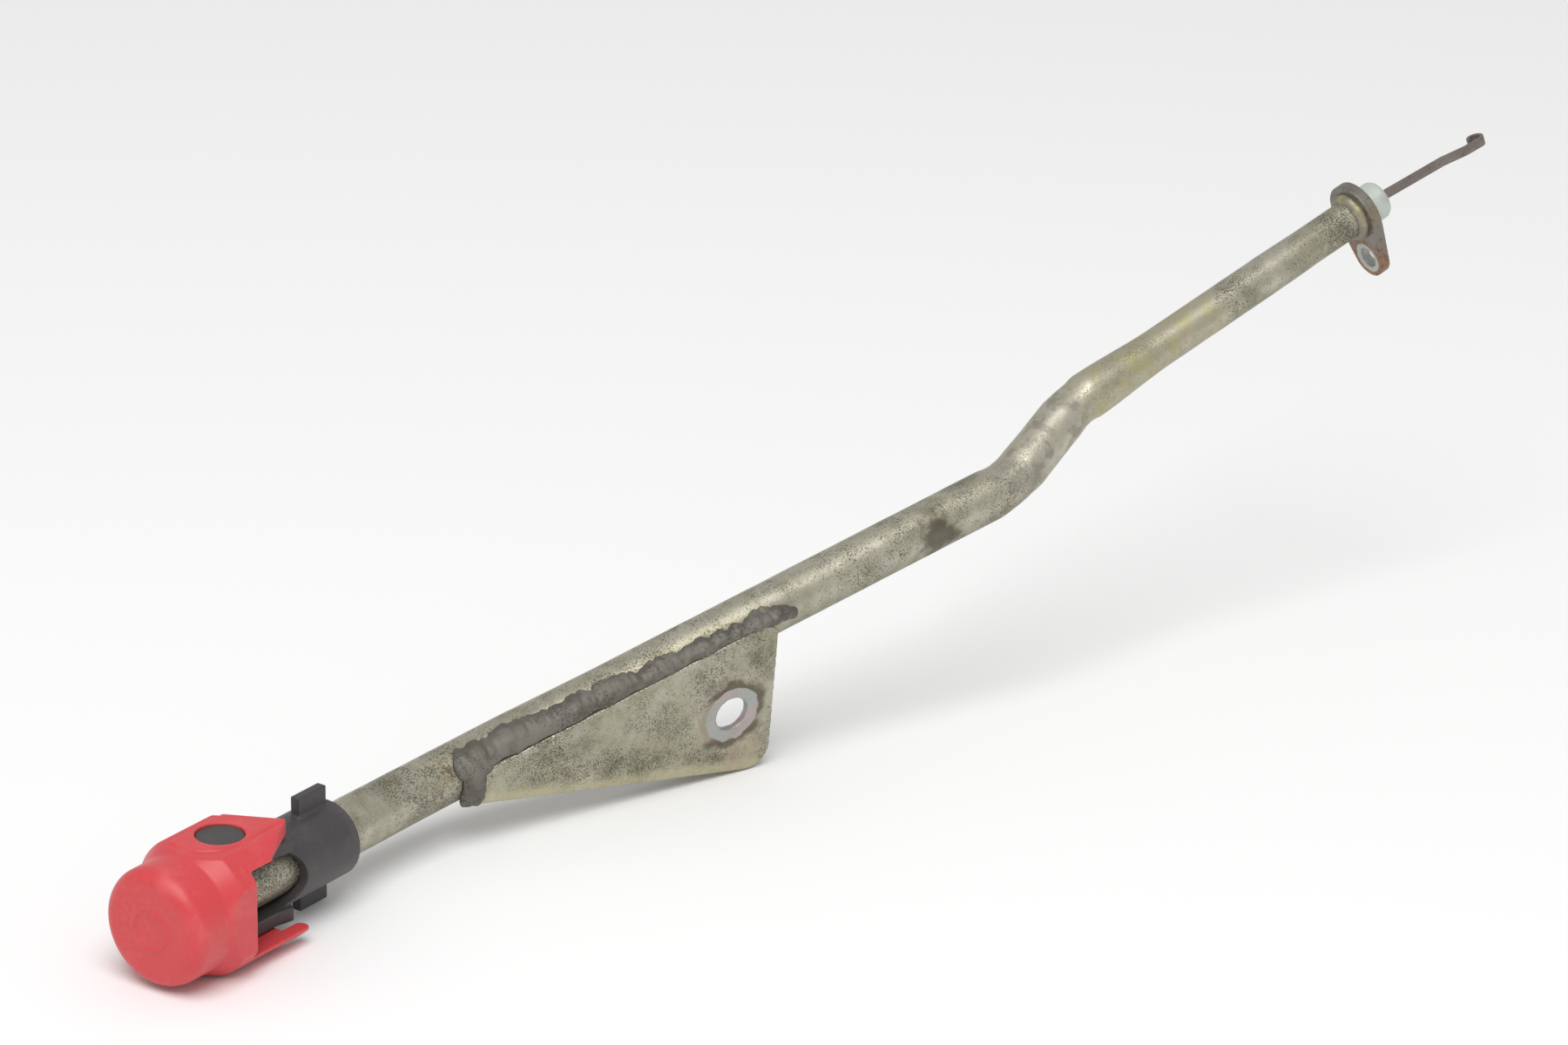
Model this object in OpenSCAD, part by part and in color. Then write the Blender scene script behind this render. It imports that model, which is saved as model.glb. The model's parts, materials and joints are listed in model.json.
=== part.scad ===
// Automatic gearbox fluid dipstick in its bent guide tube, lying as it rests on a table.
// X runs along the cap towards the gearbox end, Z is up and the table is at Z = 0. The
// modules measure from the foot of the lever's pivot, and the origin is moved under the
// middle of the part at the end. Millimetres.

/* [Guide tube] */
// Outer diameter of the upper tube, under the collar
tube_od = 14; // [13:0.2:15]
// Outer diameter of the main run, past the upper swage
run_od = 13.2; // [12:0.2:14]
// Outer diameter of the lower run
low_od = 10.4; // [9:0.2:12]
// Wall thickness of the tube
tube_wall = 1.2; // [0.8:0.1:1.5]
// Distance from the lever pivot back to the tube's mouth
mouth_back = 7.5; // [6.5:0.25:8]
// Distance from the lever pivot to the corner of the upper bend
upper_len = 75; // [68:1:90]
// Length of the main run between its two bend corners
run_len = 174; // [160:1:190]
// Length of the slanted piece between the two elbows
mid_len = 28.5; // [24:0.5:34]
// Length of the lower run, from the elbow's corner to the flange
low_len = 96; // [80:1:130]
// Centreline radius of the upper bend
upper_bend_r = 90; // [60:5:110]
// Centreline radius of the two elbows
elbow_r = 34; // [28:1:45]
// Rise of the main run above the table plane, in degrees
run_rise = 14.7; // [13:0.1:16]
// Turn of the main run towards the front, in degrees
run_turn = 22; // [18:0.5:26]
// Rise of the slanted piece, in degrees
mid_rise = 28.4; // [24:0.2:32]
// Turn of the slanted piece towards the front, in degrees
mid_turn = 3.5; // [1:0.5:8]
// Rise of the lower run, in degrees
low_rise = 19.7; // [17:0.1:23]
// Turn of the lower run towards the front, in degrees
low_turn = 17.9; // [14:0.1:22]
// Length of the upper swage, where the tube narrows
swage_len = 40; // [25:1:50]
// Length of the lower swage, past the second elbow
low_swage_len = 22; // [15:1:30]
// Share of its height that the tube loses where the elbows flatten it
elbow_flat = 0.12; // [0:0.01:0.2]

/* [Lever cap] */
// Diameter of the round end of the cap
dome_d = 29.4; // [27:0.2:30]
// Length from the pivot to the end face of the cap
dome_len = 25.4; // [24:0.2:30]
// Rounding of the cap's end
dome_round = 4; // [3:0.2:6]
// Height of the housing over its two cheeks
cheek_h = 31; // [30:0.5:33]
// Width of the housing between its two sides
house_w = 30; // [29.6:0.2:31]
// Cut of the housing's long edges, as the rise of their circle over the cheeks
house_round = 3.6; // [2.5:0.1:5]
// Length of the cheeks past the pivot, at the closed side
cheek_back = 9; // [7:0.2:11]
// Height of the raised plate on each cheek
pad_h = 0.5; // [0.3:0.1:0.8]
// Length of the finger and the tip past the pivot
finger_len = 17.2; // [15:0.2:19]
// Thickness of the finger at the foot of the open side
finger_t = 3.9; // [3.4:0.1:4.5]
// Distance from the pivot back to the edge of the window
window_back = 4.4; // [3:0.2:6]
// Diameter of the ring on the end face
ring_d = 10.4; // [8:0.2:14]
// Height of the end face's raised centre and ring
face_h = 0.5; // [0.3:0.1:0.8]

/* [Yoke and collar] */
// Diameter of the pivot bosses
pivot_d = 11.8; // [10:0.2:13]
// Clearance all round a pivot boss in its cheek
pivot_gap = 0.05; // [0.03:0.01:0.09]
// Depth of the boss ends below the cheek's face
pivot_sink = 0.5; // [0.3:0.1:1]
// Wall thickness of the collar
collar_wall = 2.6; // [2:0.1:3]
// Distance from the pivot to the near end of the collar, beside its arched opening
collar_start = 13; // [12:0.5:15]
// Distance from the pivot to the far end of the collar sleeve
collar_end = 39.5; // [36:0.5:42]
// Height of each tab above the sleeve
tab_h = 5; // [3:0.5:5.5]
// Length of each tab along the tube
tab_len = 10; // [7:0.5:11]
// Thickness of each tab
tab_t = 2.6; // [2:0.2:4]
// Clearance between the collar and the tube
collar_gap = 0.1; // [0.05:0.05:0.2]

/* [Sealing plug and blade] */
// Length of the rubber plug
plug_len = 13; // [9:0.5:16]
// Diameter of the pull rod
rod_d = 3; // [2.4:0.2:3.6]
// Thickness of the two plug washers
washer_t = 1.2; // [0.8:0.1:1.6]
// Diameter of the flexible shaft inside the tube
shaft_d = 2.6; // [2:0.1:3]
// Length of the socket that joins the rod to the shaft
socket_len = 14; // [10:1:16]
// Width of the blade
blade_w = 2.4; // [2:0.1:3.4]
// Thickness of the blade
blade_t = 0.9; // [0.6:0.1:1.2]
// Length of the blade past the bushing, without its loop
blade_out = 33.8; // [16:0.2:36]
// Sideways step of the blade near its end
blade_jog = 1.4; // [0.8:0.1:2]
// Droop of the blade past the bushing, in degrees
blade_droop = 4; // [0:0.5:6]
// Outer diameter of the folded loop
loop_d = 4.6; // [3.8:0.2:6]

/* [Bracket] */
// Sheet thickness of the bracket
sheet_t = 2.2; // [1.6:0.1:2.8]
// Distance along the main run from the bend to the bracket's narrow end
plate_start = 9; // [6:1:14]
// Distance along the main run from the bend to the bracket's square end
plate_end = 91; // [84:1:100]
// Height of the plate's top edge above the tube's axis
plate_top = 3.6; // [2:0.2:4.5]
// Depth of the folded rim behind the plate
rim_depth = 6; // [4:0.5:9]
// Rounding of the plate's lower corner
plate_corner_r = 6; // [4:0.5:9]
// Lean of the plate's square end, in degrees
plate_lean = 12; // [0:1:16]
// Roll of the plate about the tube, in degrees
plate_roll = 10.5; // [8:0.5:16]
// Diameter of the bracket's bolt hole
plate_hole_d = 9; // [8.4:0.1:10]
// Distance from the square end to the bolt hole
plate_hole_in = 9.4; // [8:0.2:14]
// Distance from the plate's lower edge up to the bolt hole
plate_hole_up = 19.4; // [14:0.2:24]
// Diameter of the nut's bearing mark round the hole
plate_seat_d = 16; // [14:0.5:18]
// Depth of the nut's bearing mark
seat_depth = 0.15; // [0.1:0.05:0.3]
// Diameter of the weld bead
bead_d = 4.8; // [4:0.2:5.4]
// Spacing of the weld bead's lumps
bead_pitch = 4.5; // [3:0.5:8]

/* [Lower flange] */
// Thickness of the flange
flange_t = 3; // [2.5:0.1:4]
// Diameter of the flange's round part
flange_d = 17; // [15:0.5:20]
// Distance from the tube's axis to the lug's hole
lug_reach = 12.6; // [12:0.2:15]
// Rounding radius of the lug's end
lug_r = 5.4; // [4.8:0.1:6.5]
// Diameter of the lug's bolt hole
lug_hole_d = 5.5; // [5:0.1:6.6]
// Diameter of the bolt's bearing mark round the lug's hole
lug_seat_d = 8.4; // [7.5:0.1:10]
// Roll of the lug towards the front, in degrees
lug_roll = 9; // [0:1:30]
// Outer diameter of the bushing
bush_d = 10.4; // [9.8:0.1:12]
// Length of the bushing past the seal ring
bush_len = 5; // [4.5:0.1:8]
// Section diameter of the seal ring
seal_d = 1.8; // [1.4:0.1:2.2]
// Width of the braze fillet round the tube
braze_w = 1.2; // [0.8:0.1:1.8]

/* [Hidden] */
$fn = 64;
tube_sides = 32;
shaft_sides = 8;
bead_sides = 10;

cap_red = "#c93a3f";
yoke_black = "#2b2a2b";
zinc = "#a39f86";
dark_steel = "#5a544a";
weld_grey = "#77736a";
bush_green = "#b9c0b2";
brass = "#a08a5a";
rubber = "#1f1f20";

eps = 0.02;
axis_h = cheek_h / 2;
tube_r = tube_od / 2;
run_r = run_od / 2;
low_r = low_od / 2;
bore_r = tube_r - tube_wall;
low_bore_r = low_r - tube_wall;
flat_top = cheek_h / 2 - pad_h;

// Directions of the tube's stretches, each from its turn and its rise
function heading(turn, rise) =
    [cos(rise) * cos(turn), -cos(rise) * sin(turn), sin(rise)];
upper_dir = [1, 0, 0];
run_dir = heading(run_turn, run_rise);
mid_dir = heading(mid_turn, mid_rise);
low_dir = heading(low_turn, low_rise);

// Corners of the centreline
mouth_at = [-mouth_back, 0, axis_h];
bend_at = [upper_len, 0, axis_h];
elbow_a = bend_at + run_len * run_dir;
elbow_b = elbow_a + mid_len * mid_dir;
flange_at = elbow_b + low_len * low_dir;

function turn_between(a, b) = acos(a * b);
function setback(a, b, r) = r * tan(turn_between(a, b) / 2);
set_1 = setback(upper_dir, run_dir, upper_bend_r);
set_a = setback(run_dir, mid_dir, elbow_r);
set_b = setback(mid_dir, low_dir, elbow_r);

// The rounded corner of the plate's front face comes down to the table
plate_face = tube_r + 0.05;
plate_up = [sin(run_rise), -sin(plate_roll) * cos(run_rise), cos(plate_roll) * cos(run_rise)];
corner_high = axis_h + (plate_end - plate_corner_r) * plate_up[0]
    + (plate_face + sheet_t) * plate_up[1];
plate_low = plate_corner_r
    + (corner_high - plate_corner_r * norm([plate_up[0], plate_up[2]])) / plate_up[2];
hole_s = plate_end - plate_hole_in;
hole_z = -plate_low + plate_hole_up;

// Middle of the whole part's plan, which stands over the origin
tip_reach = flange_t + seal_d + bush_len + blade_out;
tip_x = flange_at[0] + (tip_reach + loop_d / 2) * low_dir[0];
front_y = flange_at[1] + tip_reach * low_dir[1] - blade_jog - blade_t;
middle = [(tip_x - dome_len - face_h) / 2, (front_y + house_w / 2) / 2, 0];

// Inner parts along the cap's axis, from the thrust button to the shaft's socket
end_wall_t = 1.9;
end_wall_x = -mouth_back - end_wall_t - collar_gap;
button_t = 2.2;
button_r = 3;
washer_gap = 0.5;
upper_washer_x = -mouth_back + washer_gap;
plug_x = upper_washer_x + washer_t;
lower_washer_x = plug_x + plug_len;
nut_x = lower_washer_x + washer_t;
nut_t = 2.4;
nut_r = 2.75;
socket_x = nut_x + nut_t;
socket_r = 3.4;
socket_overlap = 6;
rod_end_x = socket_x + socket_overlap;
shaft_x = rod_end_x + 0.5;
plug_gap = 0.1;

// Clearances inside the lever
cavity_r = 13;
cavity_z = flat_top - finger_t;
arm_z = cavity_z - 0.5;
arm_inner_z = tube_r + collar_gap;
arm_w = 15;
arm_spread = 1.2;
pad_side = 6.6;
tip_x1 = 16;
tip_slant = 2.4;
lip_end = 3.6;
finger_w = 4;
finger_y = -11.2;
finger_rise = 0.3;
foot_end = 11.5;
ring_w = 0.6;

// Bushing and blade at the gearbox end, measured from the flange's rear face
seal_sink = 0.4;
seal_x = flange_t - seal_sink;
neck_r = bush_d / 2 - 0.9;
seal_r = neck_r + seal_d;
bush_x = seal_x + seal_d;
bush_spigot_r = low_bore_r - 0.1;
weld_gap = 0.1;
spigot_len = 6;
slot_gap = 0.25;
blade_start = -8;
ferrule_len = 9;
ferrule_r = 2.3;
ferrule_x = blade_start - ferrule_len + 4;
jog_len = 7;
jog_lead = 5;

// Puts the origin under the middle of the part, on the table
module laid() {
    translate(-middle) children();
}

// Turns local X onto a heading and then rolls about it
module along(turn, rise, roll = 0) {
    rotate([0, -rise, -turn]) rotate([roll, 0, 0]) children();
}

// A station on the centreline: its point, heading, radius and share of height kept
function straight(at, dir, r) = [[at, dir, r, 1]];
function bend(corner, a, b, bend_r, r, steps, flat) =
    let (sweep = turn_between(a, b), side = b - (a * b) * a, n = side / norm(side),
        start = corner - setback(a, b, bend_r) * a)
    [for (k = [0 : steps])
        let (w = sweep * k / steps)
        [start + bend_r * (sin(w) * a + (1 - cos(w)) * n), cos(w) * a + sin(w) * n,
            r, 1 - flat * sin(180 * k / steps)]];

// Stations of the tube from its mouth to the flange, with its two swages
function swaged_stations() = concat(
    straight(mouth_at, upper_dir, tube_r),
    bend(bend_at, upper_dir, run_dir, upper_bend_r, tube_r, 9, 0.02),
    straight(bend_at + (set_1 + swage_len) * run_dir, run_dir, run_r),
    bend(elbow_a, run_dir, mid_dir, elbow_r, run_r, 7, elbow_flat),
    bend(elbow_b, mid_dir, low_dir, elbow_r, run_r - 0.4, 7, elbow_flat),
    straight(elbow_b + (set_b + low_swage_len) * low_dir, low_dir, low_r),
    straight(flange_at, low_dir, low_r));

// Stations of an even bar on the same centreline, between its two end points
function even_stations(from, to, r) = concat(
    straight(from, upper_dir, r),
    bend(bend_at, upper_dir, run_dir, upper_bend_r, r, 9, 0),
    bend(elbow_a, run_dir, mid_dir, elbow_r, r, 5, 0),
    bend(elbow_b, mid_dir, low_dir, elbow_r, r, 5, 0),
    straight(to, low_dir, r));

function side_of(d) = cross(d, [0, 0, 1]) / norm(cross(d, [0, 0, 1]));
function ring(st, less, sides) =
    let (s = side_of(st[1]), u = cross(s, st[1]), r = st[2] - less)
    [for (i = [0 : sides - 1])
        let (w = 360 * i / sides)
        st[0] + r * cos(w) * s + (st[2] * st[3] - less) * sin(w) * u];
function wall_faces(rings, sides, base, inside) =
    [for (k = [0 : rings - 2], i = [0 : sides - 1])
        let (j = (i + 1) % sides, p = base + k * sides, q = p + sides)
        each inside ? [[p + i, q + j, p + j], [p + i, q + i, q + j]]
                    : [[p + i, p + j, q + j], [p + i, q + j, q + i]]];

// Solid bar swept through its stations
module swept_bar(stations, sides) {
    rings = len(stations);
    last = (rings - 1) * sides;
    polyhedron(
        points = [for (st = stations) each ring(st, 0, sides)],
        faces = concat(wall_faces(rings, sides, 0, false),
            [[for (i = [sides - 1 : -1 : 0]) i]],
            [[for (i = [0 : sides - 1]) last + i]]));
}

// Hollow bar swept through its stations
module swept_tube(stations, wall, sides) {
    rings = len(stations);
    inner = rings * sides;
    last = inner - sides;
    polyhedron(
        points = concat([for (st = stations) each ring(st, 0, sides)],
            [for (st = stations) each ring(st, wall, sides)]),
        faces = concat(wall_faces(rings, sides, 0, false),
            wall_faces(rings, sides, inner, true),
            [for (i = [0 : sides - 1])
                let (j = (i + 1) % sides)
                each [[inner + i, inner + j, j], [inner + i, j, i],
                    [last + i, last + j, last + inner + j],
                    [last + i, last + inner + j, last + inner + i]]]));
}

module guide_tube() {
    color(zinc) laid() swept_tube(swaged_stations(), tube_wall, tube_sides);
}

// Outline of the cap along its axis, from the end face to the open end
module cap_profile() {
    r = dome_d / 2;
    rb = (cheek_h + house_round) / 2;
    face = -dome_len;
    flare_x = -14;
    flare_end = -9.4;
    union() {
        translate([0, face + dome_round]) square([r, flare_x - face - dome_round]);
        translate([0, face]) square([r - dome_round, dome_round]);
        translate([r - dome_round, face + dome_round]) circle(r = dome_round);
        polygon([[0, flare_x], [r, flare_x], [rb, flare_end],
            [rb, finger_len + 1], [0, finger_len + 1]]);
    }
}

// Block with the housing's flat sides, under the round outline
module cap_block() {
    intersection() {
        rotate([90, 0, 90]) rotate([0, 0, 90])
            rotate_extrude() cap_profile();
        translate([-dome_len - 1, -house_w / 2, -flat_top])
            cube([dome_len + finger_len + 2, house_w, 2 * flat_top]);
    }
}

// Plan of a cheek: straight at the closed side, slanted at the back, drawn out to a tip
module cheek_plan() {
    half = house_w / 2;
    polygon([[-dome_len - 1, -half], [-dome_len - 1, half], [cheek_back - tip_slant * 2, half],
        [cheek_back, pad_side], [tip_x1, -pad_side], [lip_end, -half + 2.4], [lip_end, -half]]);
}

// Raised plate on a cheek: flat sides, one large round corner and the drawn-out tip
module pad_plan() {
    r = 8.4;
    left = -10.4;
    steps = 12;
    polygon(concat(
        [[left, pad_side], [cheek_back - 0.3, pad_side], [tip_x1 - 0.5, -pad_side]],
        [for (k = [0 : steps])
            let (a = 270 - 90 * k / steps)
            [left + r + r * cos(a), -pad_side + r + r * sin(a)]]));
}

// Plan of the finger along the foot of the window, with its rounded end
module finger_plan() {
    r = finger_w / 2;
    translate([-window_back - 1, finger_y - r]) square([finger_len + window_back + 1 - r, finger_w]);
    translate([finger_len - r, finger_y]) circle(r = r);
}

// Finger, cut down to the housing's round outline
module cap_finger() {
    intersection() {
        cap_block();
        translate([0, 0, -flat_top]) linear_extrude(finger_t + finger_rise) finger_plan();
    }
}

module lever_cap() {
    color(cap_red) laid()
    translate([0, 0, axis_h])
    difference() {
        union() {
            difference() {
                union() {
                    intersection() {
                        cap_block();
                        translate([0, 0, -cheek_h])
                            linear_extrude(2 * cheek_h) cheek_plan();
                    }
                    for (s = [0, 1]) mirror([0, 0, s])
                        translate([0, 0, flat_top - eps])
                            linear_extrude(pad_h + eps) pad_plan();
                }
                // Room for the yoke and the tube's mouth, turned about the pivot
                translate([0, 0, -cavity_z]) cylinder(h = 2 * cavity_z, r = cavity_r);
                translate([0, -cavity_r, -cavity_z])
                    cube([tip_x1 + 5, 2 * cavity_r, 2 * cavity_z]);
                // Window at the front, through which the tube passes when the lever opens
                translate([-window_back, -house_w, -cavity_z])
                    cube([tip_x1 + window_back + 5, house_w, 2 * cavity_z]);
                // The cheek at the foot ends short of the tip
                translate([foot_end, -house_w, -cheek_h])
                    cube([tip_x1, 2 * house_w, cheek_h]);
            }
            cap_finger();
            rotate([0, -90, 0])
                translate([0, 0, dome_len - eps])
                    difference() {
                        cylinder(h = face_h + eps, d = ring_d);
                        translate([0, 0, eps]) cylinder(h = face_h + 1, d = ring_d - 2 * ring_w);
                    }
        }
        // Holes for the pivot bosses
        translate([0, 0, -cheek_h])
            cylinder(h = 2 * cheek_h, d = pivot_d + 2 * pivot_gap);
    }
}

// One arm of the yoke with its pivot boss, above the axis
module yoke_arm() {
    boss_top = cheek_h / 2 - pivot_sink;
    translate([0, 0, arm_inner_z]) {
        linear_extrude(arm_z - arm_inner_z)
            union() {
                circle(d = arm_w);
                polygon([[0, -arm_w / 2], [collar_start - 2, -arm_w / 2],
                    [collar_start + 3, -arm_w / 2 - arm_spread],
                    [collar_start + 8, 0],
                    [collar_start + 3, arm_w / 2 + arm_spread],
                    [collar_start - 2, arm_w / 2], [0, arm_w / 2]]);
            }
    }
    cylinder_h = boss_top - arm_inner_z;
    translate([0, 0, arm_inner_z]) cylinder(h = cylinder_h, d = pivot_d);
}

module yoke_collar() {
    sleeve_r = tube_r + collar_gap + collar_wall;
    tab_x = collar_end - 2.4 - tab_len;
    color(yoke_black) laid()
    translate([0, 0, axis_h])
    difference() {
        union() {
            rotate([0, 90, 0]) translate([0, 0, collar_start])
                cylinder(h = collar_end - collar_start, r = sleeve_r);
            for (s = [0, 1]) mirror([0, 0, s]) {
                yoke_arm();
                translate([tab_x, -tab_t / 2, tube_r + collar_gap + 1])
                    cube([tab_len, tab_t, collar_wall - 1 + tab_h]);
            }
            // End wall over the tube's mouth
            translate([end_wall_x, -arm_w / 2, -arm_z]) cube([end_wall_t, arm_w, 2 * arm_z]);
            for (s = [0, 1]) mirror([0, 0, s])
                translate([end_wall_x, -arm_w / 2, arm_inner_z])
                    cube([-end_wall_x, arm_w, arm_z - arm_inner_z]);
        }
        rotate([0, 90, 0]) translate([0, 0, -mouth_back - collar_gap])
            cylinder(h = collar_end + mouth_back + 1, r = tube_r + collar_gap);
        // Arched opening at the near end
        translate([collar_start, house_w / 2, 0]) rotate([90, 0, 0])
            cylinder(h = house_w, r = arm_inner_z);
        rotate([0, 90, 0]) translate([0, 0, end_wall_x - 1])
            cylinder(h = end_wall_t + 2, d = rod_d + 0.2);
        // The arms end inside the lever's cavity
        difference() {
            translate([-20, -20, -cavity_z]) cube([20, 40, 2 * cavity_z]);
            translate([0, 0, -cavity_z - 1])
                cylinder(h = 2 * cavity_z + 2, r = cavity_r - 0.4);
        }
    }
}

// Turned pieces on the cap's axis
module on_axis(x) {
    translate([x, 0, axis_h]) rotate([0, 90, 0]) children();
}

module thrust_button() {
    color(brass) laid()
    on_axis(end_wall_x - button_t) difference() {
        cylinder(h = button_t, r = button_r);
        translate([0, 0, 1]) cylinder(h = button_t, d = rod_d + 0.04);
    }
}

module pull_rod() {
    color(dark_steel) laid()
    on_axis(end_wall_x - button_t + 1) cylinder(h = rod_end_x - end_wall_x + button_t - 1, d = rod_d);
}

module plug_washer(x) {
    color(zinc) laid()
    on_axis(x) difference() {
        cylinder(h = washer_t, r = bore_r - 0.4);
        translate([0, 0, -1]) cylinder(h = washer_t + 2, d = rod_d + 0.1);
    }
}

module upper_plug_washer() {
    plug_washer(upper_washer_x);
}

module lower_plug_washer() {
    plug_washer(lower_washer_x);
}

module rubber_plug() {
    groove = 0.7;
    rib = 1.5;
    color(rubber) laid()
    on_axis(plug_x) difference() {
        cylinder(h = plug_len, r = bore_r - plug_gap);
        translate([0, 0, -1]) cylinder(h = plug_len + 2, d = rod_d + 0.1);
        for (f = [0.3, 0.7])
            translate([0, 0, f * plug_len - rib / 2]) difference() {
                cylinder(h = rib, r = bore_r + 1);
                translate([0, 0, -1]) cylinder(h = rib + 2, r = bore_r - plug_gap - groove);
            }
    }
}

module rod_nut() {
    color(zinc) laid()
    on_axis(nut_x) difference() {
        cylinder(h = nut_t, r = nut_r, $fn = 6);
        translate([0, 0, -1]) cylinder(h = nut_t + 2, d = rod_d + 0.1);
    }
}

module shaft_socket() {
    color(zinc) laid()
    on_axis(socket_x) difference() {
        cylinder(h = socket_len, r = socket_r);
        translate([0, 0, -1]) cylinder(h = socket_overlap + 1, d = rod_d + 0.1);
        translate([0, 0, socket_overlap - 1])
            cylinder(h = socket_len, d = shaft_d + 0.1);
    }
}

module flexible_shaft() {
    shaft_end = flange_at + (blade_start - 0.2) * low_dir;
    color(dark_steel) laid()
    swept_bar(even_stations([shaft_x, 0, axis_h], shaft_end, shaft_d / 2), shaft_sides);
}

// Frame of the bracket: X along the main run, Z up in the plate, Y behind it
module on_plate() {
    translate(bend_at) along(run_turn, run_rise, plate_roll) children();
}

// Outline of the plate with its narrow end, sloping lower edge and square end
module plate_outline(inset) {
    narrow = 5;
    snip = 3;
    r = plate_corner_r - inset;
    x0 = plate_start + inset;
    x1 = plate_end - inset;
    zt = plate_top - inset;
    zb = -plate_low + inset;
    slope = atan2(plate_low - narrow, plate_end - plate_corner_r - plate_start);
    cx = x1 - r;
    cz = zb + r;
    arc = 90 + slope - plate_lean;
    steps = 8;
    end_x = cx + r * cos(plate_lean) + (zt - cz + r * sin(plate_lean)) * tan(plate_lean);
    polygon(concat(
        [[x0, zt], [x0, -narrow + inset]],
        [for (k = [0 : steps])
            let (a = 270 - slope + arc * k / steps) [cx + r * cos(a), cz + r * sin(a)]],
        [[end_x - snip * tan(plate_lean), zt - snip], [end_x - snip, zt]]));
}

module mounting_bracket() {
    color(zinc) laid()
    on_plate()
    difference() {
        translate([0, -plate_face, 0]) rotate([90, 0, 0])
            linear_extrude(sheet_t) plate_outline(0);
        translate([hole_s, 0, hole_z]) rotate([90, 0, 0])
            cylinder(h = 3 * tube_od, d = plate_hole_d);
        translate([hole_s, -plate_face - sheet_t + seat_depth, hole_z]) rotate([90, 0, 0])
            cylinder(h = 2, d = plate_seat_d);
    }
    color(zinc) laid() bracket_rim();
}

// Folded rim behind the plate, along its lower edge and its square end
module bracket_rim() {
    on_plate()
    difference() {
        translate([0, -plate_face + rim_depth, 0]) rotate([90, 0, 0])
            linear_extrude(rim_depth + eps) difference() {
                plate_outline(0);
                plate_outline(sheet_t);
                translate([-1, -6]) square([plate_end + 12, plate_low]);
                translate([plate_start - 1, -6.5]) square([9, 6]);
            }
        rotate([0, 90, 0]) cylinder(h = plate_end + 12, r = tube_r + 0.3);
    }
}

// Weld bead: up round the narrow end, along the top edge and into a blob
module bracket_weld() {
    r = bead_d / 2;
    y = -plate_face + 0.2;
    z = plate_top + 0.6;
    run = plate_end - plate_start;
    beads = round(run / bead_pitch);
    color(weld_grey) laid()
    difference() {
        on_plate() difference() {
            union() {
                swept_bar(concat(
                    [[[plate_start - 3, y, z], [1, 0, 0], r * 0.4, 1]],
                    [for (k = [0 : beads])
                        [[plate_start + k * run / beads, y, z], [1, 0, 0],
                            r * (1 + 0.09 * (k % 2) - 0.07 * (k % 3)), 1]],
                    [[[plate_end + 2, y, z], [1, 0, 0], r * 1.25, 1]],
                    [[[plate_end + 4.5, y + 0.6, z], [1, 0, 0], r * 0.9, 1]],
                    [[[plate_end + 6, y + 1, z], [1, 0, 0], r * 0.3, 1]]), bead_sides);
                translate([plate_start, y, 0])
                    swept_bar([for (k = [0 : 4])
                        [[-1.6 + 0.3 * k, 0, -5.4 + k * 2.2], [0.1, 0, 0.995],
                            r * (0.75 + 0.3 * sin(45 * k)), 1]], bead_sides);
            }
            translate([0, -plate_face + eps, 0]) rotate([90, 0, 0])
                linear_extrude(sheet_t + eps) plate_outline(0);
        }
        swept_bar([for (st = swaged_stations()) [st[0], st[1], st[2] + weld_gap, st[3]]],
            tube_sides);
    }
}

// Frame of the flange: X along the lower run, the lug along its own minus Z
module on_flange() {
    translate(flange_at) along(low_turn, low_rise, -lug_roll) children();
}

// Outline of the flange, a round part drawn down to a lug, with a gap all round
module flange_outline() {
    d = lug_reach;
    big = flange_d / 2;
    lean = asin((big - lug_r) / d);
    circle(r = big);
    translate([0, -d]) circle(r = lug_r);
    polygon([[big * cos(lean), -big * sin(lean)], [-big * cos(lean), -big * sin(lean)],
        [-lug_r * cos(lean), -d - lug_r * sin(lean)],
        [lug_r * cos(lean), -d - lug_r * sin(lean)]]);
}

module lower_flange() {
    color(dark_steel) laid()
    on_flange()
    rotate([90, 0, 90])
    difference() {
        linear_extrude(flange_t) flange_outline();
        translate([0, 0, -1]) cylinder(h = flange_t + 2, r = low_bore_r);
        translate([0, -lug_reach, -1]) cylinder(h = flange_t + 2, d = lug_hole_d);
        translate([0, -lug_reach, -2]) cylinder(h = 2 + seat_depth, d = lug_seat_d);
        // Recess for the seal ring
        translate([0, 0, seal_x]) cylinder(h = 2, r = seal_r + 0.15);
    }
}

module flange_braze() {
    color(brass) laid()
    on_flange()
    rotate([90, 0, 90])
    rotate_extrude() difference() {
        translate([low_r, -braze_w]) square([braze_w, braze_w]);
        translate([low_r + braze_w, -braze_w]) circle(r = braze_w);
    }
}

module seal_ring() {
    color(rubber) laid()
    on_flange()
    rotate([90, 0, 90])
    translate([0, 0, seal_x + seal_d / 2])
    rotate_extrude() translate([neck_r + seal_d / 2, 0]) circle(d = seal_d);
}

module end_bushing() {
    color(bush_green) laid()
    on_flange()
    rotate([90, 0, 90])
    difference() {
        union() {
            translate([0, 0, seal_x - spigot_len])
                cylinder(h = spigot_len + eps, r = bush_spigot_r);
            translate([0, 0, seal_x]) cylinder(h = seal_d + eps, r = neck_r);
            translate([0, 0, bush_x]) cylinder(h = bush_len - 1, d = bush_d);
            translate([0, 0, bush_x + bush_len - 1])
                cylinder(h = 1, d1 = bush_d, d2 = bush_d - 1.2);
        }
        translate([-blade_t / 2 - slot_gap, -blade_w / 2 - slot_gap, -spigot_len])
            cube([blade_t + 2 * slot_gap, blade_w + 2 * slot_gap, spigot_len + bush_x + bush_len + 5]);
    }
}

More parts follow.
